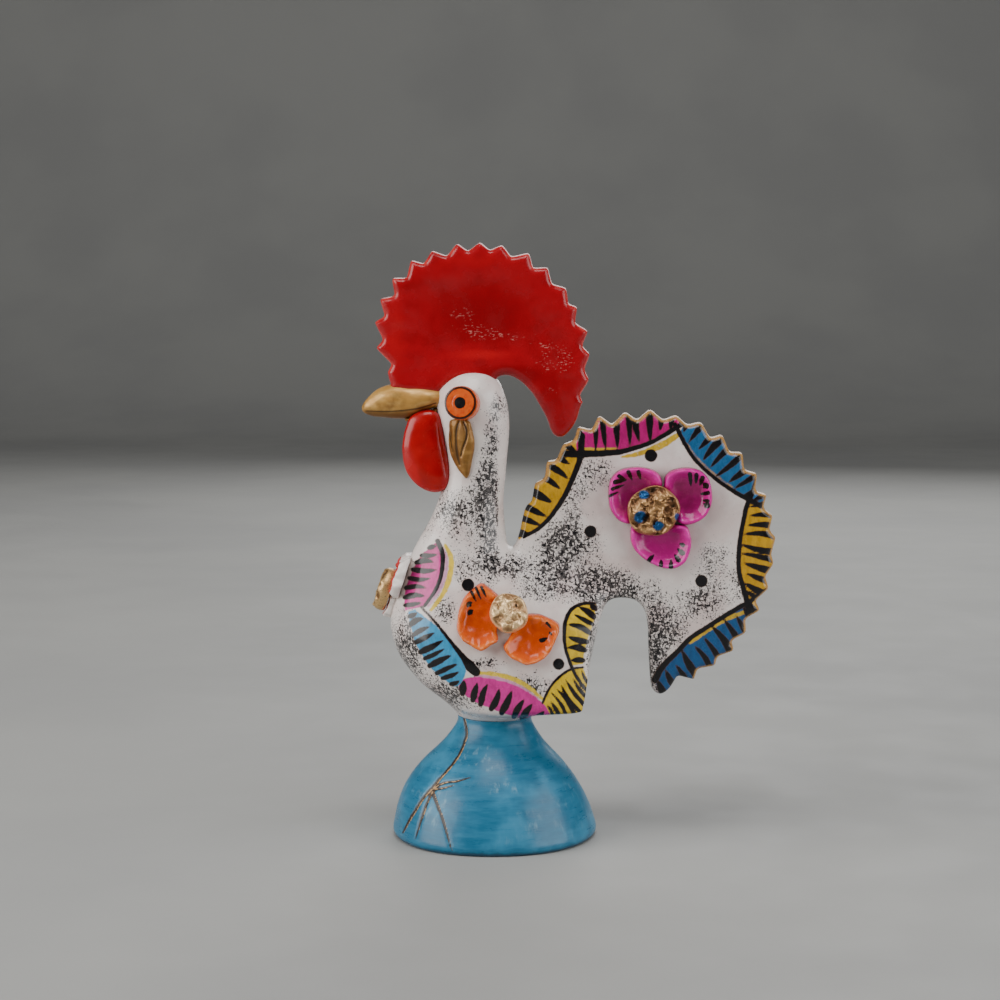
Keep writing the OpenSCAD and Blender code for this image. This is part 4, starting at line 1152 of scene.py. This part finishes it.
def pad(name, outline, middle, surface, heights, shares, ruffle=0.0, seed=0, count=144, button=None,
        clear=0.0, floor=1.8):
    """A pad of clay on a surface: its height over it at shares of the way from middle to outline."""
    loop = evenly(np.concatenate([outline, outline[:1]]), count + 1)[:-1]
    middle = np.array(middle, float)
    turn = np.linspace(0, 2 * np.pi, count, endpoint=False)
    waves = np.sin(3 * turn + seed) + 0.6 * np.sin(7 * turn + 2 * seed) + 0.4 * np.sin(13 * turn + seed)
    table = smooth(np.column_stack([shares, heights]), 7)
    rings, cup = [], []
    for share, height in table[::-1]:
        p = mix(middle, loop, max(share, 0.02))
        rise = np.maximum(height - floor, 0) * (1 + ruffle * waves)
        if button is not None:
            rise = rise * ease((np.linalg.norm(p - button, axis=1) - clear) / 2.5)
        rings.append(surface(p, np.minimum(height, floor) + rise))
        cup += [height / max(heights)] * count
    under = [surface(mix(middle, loop, s), np.full(count, -0.15)) for s in (0.02, 0.6, 1.0)]
    obj = skin(name, raised(under + rings))
    store(obj, "cup", np.concatenate([np.zeros(3 * count), cup]))
    store(obj, "share", np.concatenate([np.ones(3 * count), np.repeat(table[::-1, 0], count)]))
    return obj


def flank_surface(p, t):
    return np.stack([p[:, 0], -side(p[:, 0], p[:, 1]) - t, p[:, 1]], 1)


def tail_surface(p, t):
    return np.stack([p[:, 0], np.full(len(p), -TAIL_HALF) - t, p[:, 1]], 1)


CUP_SHARES = [0.0, 0.35, 0.58, 0.72, 0.82, 0.89, 0.945, 0.985, 1.0]
WING_CUP = [1.5, 1.6, 2.0, 2.8, 3.6, 4.0, 3.7, 2.6, 1.1]
TAIL_CUP = [1.3, 1.45, 2.0, 3.0, 3.9, 4.3, 4.0, 2.9, 1.2]
LEAF_SHARES = [0.0, 0.3, 0.55, 0.75, 0.88, 0.96, 1.0]
LEAF = [2.7, 2.6, 2.3, 1.9, 1.4, 0.9, 0.3]

WING_FRONT = [
    (481.5, 584), (473, 589.5), (465, 597), (459, 610), (456.8, 621), (457.3, 633), (463, 641.5),
    (472, 647), (481, 651.5), (490, 646.5), (498, 641.5), (496.5, 631), (499, 617), (503, 603), (498, 596),
    (490, 588.5)]
WING_REAR = [
    (526.5, 615.5), (537, 614.5), (548.5, 618.3), (557.5, 623), (559.8, 629), (556.6, 640), (551, 651),
    (542.7, 660), (528, 665.3), (516.5, 661), (507.3, 655.5), (503.3, 647.5), (507, 641), (512, 634),
    (518, 624)]
WING_BUTTON, WING_BUTTON_R, BUTTON_T = (507.5, 617.5), 6.4, 3.9
FLANK_TILT, FLANK_TURN = math.radians(21.5), math.radians(7.5)
TAIL_FRONT_PETAL = [
    (608.4, 492), (611.5, 478), (622, 469.5), (637, 467), (652, 469.5), (660.5, 476.5), (662.3, 487.5),
    (657.5, 501), (646, 514.5), (633, 523), (624, 523.5), (615.3, 518), (609.7, 507)]
TAIL_REAR_PETAL = [
    (664, 484), (666.5, 475), (675, 469.5), (688.5, 468), (701.5, 471.5), (710, 481), (712.3, 494.5),
    (711, 507), (704.5, 518), (693, 524), (681.5, 524), (671.5, 516), (664.5, 501)]
TAIL_LOW_PETAL = [
    (631, 529), (636, 523), (648, 522), (660, 525), (674, 524.5), (686.5, 526.5), (691.3, 537),
    (691.3, 548), (686.5, 561), (676, 568.3), (663, 568.3), (650, 563), (637, 553.5), (631, 542.5)]
TAIL_BUTTON, TAIL_BUTTON_R = (653.5, 511), 8.5
# Petal strokes: start, end and width
PETAL_STROKES = [
    ((476, 588), (481, 599), 2), ((481.5, 587), (486, 597), 2), ((471.5, 592), (476, 601), 2.2),
    ((470, 605), (470.4, 605.4), 5.4), ((471, 613), (471.5, 613.5), 5.4), ((547, 623), (551, 628), 2),
    ((550, 633), (552, 635), 2), ((541.5, 640.5), (547, 638), 3.2),
    ((612.5, 489), (624, 485), 2.4), ((615, 482), (626, 480), 3.2), ((619, 476), (626, 480), 2.8),
    ((628.5, 472), (632, 480), 3), ((638.5, 472), (640.5, 479), 3), ((609.5, 496), (618, 492), 2),
    ((690, 474), (691, 486), 3), ((696.5, 475), (696, 483), 3), ((702.5, 478), (700, 485), 3.4),
    ((705.5, 486), (704, 487.5), 5), ((708, 493), (701, 494), 3), ((708, 501), (703, 500.5), 2.6),
    ((707, 505.5), (704, 504), 4.4), ((649, 560.5), (653.5, 555), 3.2), ((661, 565), (661, 560), 3),
    ((671, 567), (671, 560), 3.4), ((678.5, 560), (675, 555), 3.6), ((682.5, 553), (678, 549), 4),
    ((683, 545), (680, 544), 3)]


def petal_marks(obj):
    paint = Paint(place_of(obj))
    paint.layers["ink"] = np.full(len(paint.at), FAR)
    for a, b, w in PETAL_STROKES:
        a, b = np.array(a, float), np.array(b, float)
        line = np.array([a, (a + b) / 2, b])
        paint.put("ink", line, lambda p, l=line, w=1.4 * w: from_line(p, l, [w, 0.9 * w, 0.3 * w]))
    paint.store(obj)


# How far the rims and the pellets' faces, which the pixels follow, stand off the clay
WING_RISE, TAIL_RISE, BUTTON_RISE = 2.4, 2.6, 4
WING_BUTTON_STAND, TAIL_BUTTON_STAND, CHEST_BUTTON_STAND = 2.2, 2.0, 2.0
# A flower: its pixels' place, its surface, its cup's heights and ruffle, its button's pixels and clear
# radius, and how deep and how wide fingers pressed it
WING_FLOWER = (lambda pixels: on_flank(pixels, WING_RISE), flank_surface, WING_CUP, 0.2,
               WING_BUTTON, WING_BUTTON_R - 0.5, 0.3, 3.2)
TAIL_FLOWER = (lambda pixels: on_plane(pixels, -TAIL_HALF - TAIL_RISE), tail_surface, TAIL_CUP, 0.07,
               TAIL_BUTTON, TAIL_BUTTON_R - 1.0, 0.16, 5)


def flower_petal(name, flower, pixels, middle, seed, material):
    place, surface, cup, ruffle, centre, clear, pressed, size = flower
    obj = pad(name, place(smooth_loop(pixels, 8)), place([middle])[0], surface, cup, CUP_SHARES, ruffle, seed,
              button=place([centre])[0], clear=clear)
    hand_made(obj, pressed, size, seed)
    petal_marks(obj)
    return coated(obj, material)


EARLOBE = [
    (451, 420), (449, 432), (448.5, 442), (450, 453), (454, 463), (459, 471), (464, 477), (466.5, 478.5),
    (469, 475), (471, 466), (474, 452), (474.5, 441), (472, 430), (468, 421)]
EAR_MIDDLE, EAR_STAND = (461, 447), 1.4
EAR_GROOVES = [
    ([(459.5, 421), (456.5, 431), (456.3, 443), (457.5, 455), (460, 465)], [1, 1.6, 1.4, 1.2, 0.4]),
    ([(463.5, 422), (466.5, 430), (466, 439), (463, 448), (461, 456)], [1, 1.8, 1.5, 1, 0.4]),
    ([(451, 427), (451, 440), (453, 452)], [0.4, 1, 0.4])]


def ear_lobe():
    loop = on_flank(smooth_loop(EARLOBE, 8), EAR_STAND)
    obj = pad("earlobe_left", loop, on_flank([EAR_MIDDLE], EAR_STAND)[0], flank_surface, LEAF, LEAF_SHARES,
              count=120, floor=max(LEAF))
    paint = Paint(place_of(obj))
    for line, widths in EAR_GROOVES:
        paint.line("groove", line, widths)
    points = place_of(obj)
    cut = 0.6 * ease((1.6 - paint.layers["groove"]) / 2.4) * (points[:, 1] < -8)
    move_to(obj, points + np.stack([0 * cut, cut, 0 * cut], 1))
    hand_made(obj, amount=0.1, size=2.5, seed=13)
    paint.store(obj)
    store(obj, "shade", 0)
    return coated(obj, gold_paint("ear_gold", EAR_GOLDS))


FOLDS = [(5.2, 0.42), (2.4, 0.22), (1.3, 0.08)]
FACET = 3.8
# The facets' lean is drawn by a generator that goes by the clock unless it is given a seed
FACET_SEED = 6
noise.seed_set(FACET_SEED)


def crumple(x, y, seed):
    """Height of crumpled foil: sharp folds of three sizes, and flat facets that each lean their own way."""
    out = []
    for px, py in zip(x, y):
        p = Vector((px, py, 0)) + Vector((13.7, 7.9, 2.6)) * seed
        height = sum(share * (1 - abs(2.2 * noise.noise(p / size))) for size, share in FOLDS)
        away, centres = noise.voronoi(p / FACET)
        lean = noise.noise_vector(centres[0] * 3.1) * 0.9
        out.append(height + (p / FACET - centres[0]).dot(lean) + 0.1 * min(1.0, 3 * (away[1] - away[0])))
    return np.clip(out, 0, 1)


def button(r, t, seed, relief):
    """A round pellet of crumpled clay with a soft, uneven edge, lying on z = 0."""
    profile = smooth([(r - 0.9, -0.3), (r - 0.1, 0.3), (r + 0.1, 0.5 * t), (r - 0.25, 0.82 * t), (r - 0.9, t),
                      (r - 2.0, 1.04 * t)], 5)
    profile = [tuple(p) for p in profile] + [(q, 1.06 * t) for q in np.linspace(r - 2.2, 0.05, 34)]
    rings = lathe([(0.05, -0.3)] + profile, 180)
    local = rings.reshape(-1, 3)
    fold = crumple(local[:, 0], local[:, 1], seed)
    top = ease((local[:, 2] - 0.6 * t) / (0.4 * t))
    local = local.copy()
    local[:, 2] += relief * (fold - 0.55) * top
    turn = np.arctan2(local[:, 1], local[:, 0])
    out_of_round = 1 + 0.03 * np.sin(2 * turn + seed) + 0.02 * np.sin(5 * turn + seed)
    local[:, :2] *= out_of_round[:, None]
    return rings.shape, local, mix(0.75, fold, top)


# Blue dabs on the tail's pellets: place and radius in pixels
DABS = [(640, 517, 6), (644, 495, 4.5), (659, 526, 5), (678, 517, 3.5)]


def placed_button(name, r, t, seed, relief, tilt, turn, at, material):
    shape, local, fold = button(r, t, seed, relief)
    placed = turned_out(local, tilt, turn) + at
    obj = skin(name, raised(placed.reshape(shape)))
    store(obj, "fold", fold)
    paint = Paint(place_of(obj))
    for x, y, radius in DABS:
        paint.dot("dabs", np.array([x, y]), radius)
    paint.store(obj)
    return coated(obj, material)


def wing_button():
    x, h = on_flank([WING_BUTTON], BUTTON_RISE)[0]
    out = turned_out(np.array([[0, 0, WING_BUTTON_STAND]]), FLANK_TILT, FLANK_TURN)[0]
    at = np.array([x, -float(side(x, h)), h]) + out
    material = crumpled_gold("pale_gold", (0.95, 0.66, 0.34), (0.36, 0.2, 0.09), False)
    return placed_button("wing_button", WING_BUTTON_R, BUTTON_T, 4, 1.6, FLANK_TILT, FLANK_TURN, at, material)


def tail_button():
    x, h = on_plane([TAIL_BUTTON], -TAIL_HALF - BUTTON_RISE)[0]
    at = np.array([x, -TAIL_HALF - TAIL_BUTTON_STAND, h])
    material = crumpled_gold("blue_gold", (0.55, 0.31, 0.13), (0.13, 0.055, 0.02), True)
    return placed_button("tail_button", TAIL_BUTTON_R, BUTTON_T, 7, 2.5, 0, 0, at, material)


# Chest flower: three petals in a leaning plane, seen from their edge

CHEST_FLOWER, CHEST_BUTTON_H = 44.5, 42.8
CHEST_STAND, CHEST_LEAN = 1.2, 0.33
CHEST_R, CHEST_OUT, CHEST_BUTTON_R = 7.0, 6.0, 7.2
CHEST_SHARES = [0, 0.3, 0.48, 0.6, 0.69, 0.77, 0.87, 0.96, 1]
CHEST_CUP = [1.5, 1.6, 1.9, 2.6, 3.4, 3.6, 3.1, 2.0, 0.7]


def chest_surface(p, t):
    plane = float(front_x(0, CHEST_FLOWER)) + CHEST_STAND + CHEST_LEAN * (p[:, 1] - CHEST_FLOWER)
    return np.stack([np.minimum(front_x(p[:, 0], p[:, 1]), plane) - t, p[:, 0], p[:, 1]], 1)


def chest_petal(name, aim, share, seed, material):
    a = np.radians(np.linspace(-57, 57, 40))
    out, r = CHEST_OUT * share, CHEST_R * share
    reach = out * np.cos(a) + np.sqrt(r * r - (out * np.sin(a)) ** 2)
    wavy = reach * (1 + 0.035 * np.sin(9 * a + seed) + 0.03 * np.sin(17 * a + 2 * seed))
    centre = np.array([0, CHEST_FLOWER])
    aim = math.radians(aim)
    along = np.array([math.cos(aim), math.sin(aim)])
    arc = centre + np.stack([np.cos(aim + a), np.sin(aim + a)], 1) * wavy[:, None]
    loop = np.concatenate([[centre + 1.2 * along], arc])
    obj = pad(name, loop, centre + out * along, chest_surface, CHEST_CUP, CHEST_SHARES, 0.12, seed,
              button=np.array([0, CHEST_BUTTON_H]), clear=CHEST_BUTTON_R - 0.6)
    hand_made(obj, amount=0.25, size=2.6, seed=seed)
    store(obj, "ink", FAR)
    return coated(obj, material)


def chest_button():
    shape, local, fold = button(CHEST_BUTTON_R, BUTTON_T, 9, 1.2)
    a = -math.pi / 2 + math.atan(CHEST_LEAN)
    x, y, z = local.T
    placed = np.stack([x * math.cos(a) + z * math.sin(a), y, -x * math.sin(a) + z * math.cos(a)], 1)
    seat = chest_surface(np.array([[0, CHEST_BUTTON_H]]), np.array([CHEST_BUTTON_STAND]))[0]
    placed += [seat[0], 0, CHEST_BUTTON_H]
    obj = skin("chest_button", raised(placed.reshape(shape)))
    store(obj, "fold", fold)
    return coated(obj, crumpled_gold("dull_gold", (0.65, 0.42, 0.18), (0.2, 0.1, 0.035), False))


# Foot

BELL = [
    [0, 1], [0.025, 0.93], [0.2, 0.78], [0.5, 0.6], [0.72, 0.435], [0.885, 0.262], [0.985, 0.1], [1, 0.045],
    [0.975, 0.012], [0.935, 0]]
CLAW = [
    ([(463, 716), (466.5, 732), (464, 743), (460, 753), (453, 763.5), (445, 773), (437, 782), (431, 789.5)],
     [2, 2.2, 2.2, 2.4, 2.4, 2.6, 3, 3.4]),
    ([(431, 789), (424, 797), (418, 806), (410, 819), (402.5, 833)], [3.4, 3, 2.8, 2.6, 1]),
    ([(431.5, 791), (426.5, 804), (421.5, 818), (415, 839)], [3.2, 2.6, 2.4, 0.8]),
    ([(432, 791), (437, 805), (443, 821), (451.5, 851)], [3.6, 3.2, 3, 1]),
    ([(432, 788.5), (444, 783), (456, 781.5), (470.5, 777.5)], [3.2, 2.4, 2, 0.8]),
    ([(432, 789.5), (442, 788.5), (453, 785.5)], [3, 2, 0.8])]
LEFT_BULGE = 1.8
# The claw's width and its gold's, as shares of the widths above, and where the gold lies, in pixels
CLAW_WIDE, GOLD_WIDE, GOLD_RIGHT, GOLD_UP = 0.88, 0.35, 1.1, 0.3


def base():
    outline = smooth([(mix(BASE_NECK_R, BASE_R, a), BASE_H * b) for a, b in BELL], 14)
    inward = [(BASE_R * 0.9, 0.25), (BASE_R * 0.862, 0.8), (BASE_R * 0.84, 3)]
    wall = [(max(r - BASE_WALL, VENT_R), z - 1.5) for r, z in outline[::-1] if 5 < z < BASE_H - 4]
    profile = [(VENT_R, BASE_H), (BASE_NECK_R - 0.8, BASE_H)] + [tuple(p) for p in outline] + inward + wall
    profile.append((VENT_R, BASE_H - 0.5))
    rings = lathe(profile, 300)
    points = rings.reshape(-1, 3)
    turn = np.arctan2(points[:, 1], points[:, 0])
    radius, height = np.hypot(*points[:, :2].T), points[:, 2] / BASE_H
    squash = 1 + ease(1 - height) * (0.012 * np.sin(2 * turn + 0.7) + 0.006 * np.sin(5 * turn))
    bulge = LEFT_BULGE * np.maximum(-np.cos(turn), 0) ** 2 * np.sin(np.pi * np.clip(height, 0, 1)) ** 2
    out = squash + bulge * (radius > BASE_NECK_R) / np.maximum(radius, 1)
    points = np.column_stack([points[:, 0] * out, points[:, 1] * out, points[:, 2]])
    radius = np.hypot(*points[:, :2].T)
    count, m = rings.shape[:2]
    faces = ring_faces(count, m)[:-2]
    faces += [[(count - 1) * m + j, (count - 1) * m + (j + 1) % m, (j + 1) % m, j] for j in range(m)]
    obj = new_object("base", points, [f[::-1] for f in faces])
    paint = Paint(points)
    for line, widths in CLAW:
        paint.line("claw", line, np.array(widths) * CLAW_WIDE)
        gold = [(x + GOLD_RIGHT, y - GOLD_UP) for x, y in line]
        paint.line("claw_gold", gold, np.array(widths) * GOLD_WIDE)
    inside = np.repeat(np.arange(count) >= 2 + len(outline) + 1, m)
    for name in ("claw", "claw_gold"):
        paint.layers[name][inside | (radius <= BASE_NECK_R - 0.3)] = FAR
    cut = 0.3 * ease((1.2 - paint.layers["claw"]) / 2.2)
    away = points / np.maximum(radius, 1)[:, None] * [1, 1, 0]
    move_to(obj, points - away * cut[:, None])
    paint.store(obj)
    # Height above the floor, for the painted shade along the bottom edge
    store(obj, "low", np.where(inside, FAR, points[:, 2]))
    store(obj, "bare", inside)
    return coated(obj, sky_glaze())


# The whole rooster

body = body_and_tail()
paint_body(body)
piece(body, "white_speckled_glaze", "body", "tail")
piece(comb(), "red_enamel", "comb")
piece(beak_upper(), "gold_paint", "beak_upper")
piece(beak_lower(), "gold_paint", "beak_lower")
both_sides(wattle(), "red_enamel", "wattle")
both_sides(eye(), "orange_enamel", "eye")
both_sides(ear_lobe(), "gold_paint", "earlobe")

orange = petal_enamel("orange_petal", (0.48, 0.045, 0.003), (0.68, 0.09, 0.006), (0.8, 0.18, 0.02))
magenta = petal_enamel("magenta_petal", (0.24, 0.002, 0.08), (0.5, 0.004, 0.21), (0.72, 0.012, 0.35))
# A lighter copy of the magenta paint, as painted light on the low tail petal
light_magenta = petal_enamel("magenta_low_petal", (0.4, 0.004, 0.16), (0.56, 0.006, 0.25), (0.75, 0.02, 0.38))
red = petal_enamel("chest_petal", (0.28, 0.004, 0.006), (0.45, 0.008, 0.01), (0.6, 0.03, 0.03), back=WHITE)
for slot, name, *petal in (
        ("orange_enamel", "wing_petal_front", WING_FLOWER, WING_FRONT, (477, 619), 21, orange),
        ("orange_enamel", "wing_petal_rear", WING_FLOWER, WING_REAR, (532, 640), 22, orange),
        ("magenta_enamel", "tail_petal_front", TAIL_FLOWER, TAIL_FRONT_PETAL, (635, 495), 31, magenta),
        ("magenta_enamel", "tail_petal_rear", TAIL_FLOWER, TAIL_REAR_PETAL, (688, 496), 32, magenta),
        ("magenta_enamel", "tail_petal_low", TAIL_FLOWER, TAIL_LOW_PETAL, (662, 544), 33, light_magenta)):
    both_sides(flower_petal(name, *petal), slot, name)
both_sides(wing_button(), "crumpled_gold", "wing_button")
both_sides(tail_button(), "crumpled_gold", "tail_button")
for name, aim, share, seed in (("chest_petal_left", 148, 1.0, 41), ("chest_petal_right", 32, 1.0, 42),
                               ("chest_petal_low", 270, 0.83, 43)):
    piece(chest_petal(name, aim, share, seed, red), "chest_flower_paint", name)
piece(chest_button(), "crumpled_gold", "chest_button")
piece(base(), "sky_blue_glaze", "base")


# Studio

def floor():
    """A pale sweep that runs under the rooster and up behind it."""
    half_w, depth, back, radius, height = 2600, 2200, 1500, 700, 2600
    turn = np.linspace(0, math.pi / 2, 24)
    bend = [(back + radius * math.sin(t), radius * (1 - math.cos(t))) for t in turn]
    line = [(-depth, 0)] + bend + [(back + radius, height)]
    points = [(x, y, z) for y, z in line for x in (-half_w, half_w)]
    faces = [[2 * i, 2 * i + 1, 2 * i + 3, 2 * i + 2] for i in range(len(line) - 1)]
    obj = new_object("studio_sweep", points, faces)
    coated(obj, studio_floor())


def soft_light(name, at, size, power, colour=(1, 1, 1)):
    """A square soft box at a place in millimetres, aimed at the rooster's middle."""
    light = bpy.data.lights.new(name, "AREA")
    light.shape = "SQUARE"
    light.size = size * MM
    light.energy = power
    light.color = colour
    obj = bpy.data.objects.new(name, light)
    obj.location = Vector(at) * MM
    aim = Vector((5, 0, 100)) * MM
    obj.rotation_euler = (aim - obj.location).to_track_quat("-Z", "Y").to_euler()
    bpy.context.scene.collection.objects.link(obj)


def camera():
    data = bpy.data.cameras.new("camera")
    data.sensor_width = 36
    data.lens = data.sensor_width * CAMERA_PIXELS / PHOTO
    obj = bpy.data.objects.new("camera", data)
    obj.location = Vector(CAMERA) * MM
    obj.rotation_euler = (math.pi / 2 - CAMERA_PITCH, 0, 0)
    bpy.context.scene.collection.objects.link(obj)
    bpy.context.scene.camera = obj


floor()
soft_light("left", (-1050, -430, 520), 1000, 17, (1, 0.985, 0.96))
soft_light("right", (1050, -430, 420), 1000, 11)
soft_light("top", (0, -350, 1200), 600, 6)
soft_light("rear", (200, 1000, 600), 800, 5)
world = bpy.data.worlds.new("studio")
world.use_nodes = True
world.node_tree.nodes["Background"].inputs["Color"].default_value = (0.8, 0.82, 0.85, 1)
world.node_tree.nodes["Background"].inputs["Strength"].default_value = 0.12
bpy.context.scene.world = world
camera()
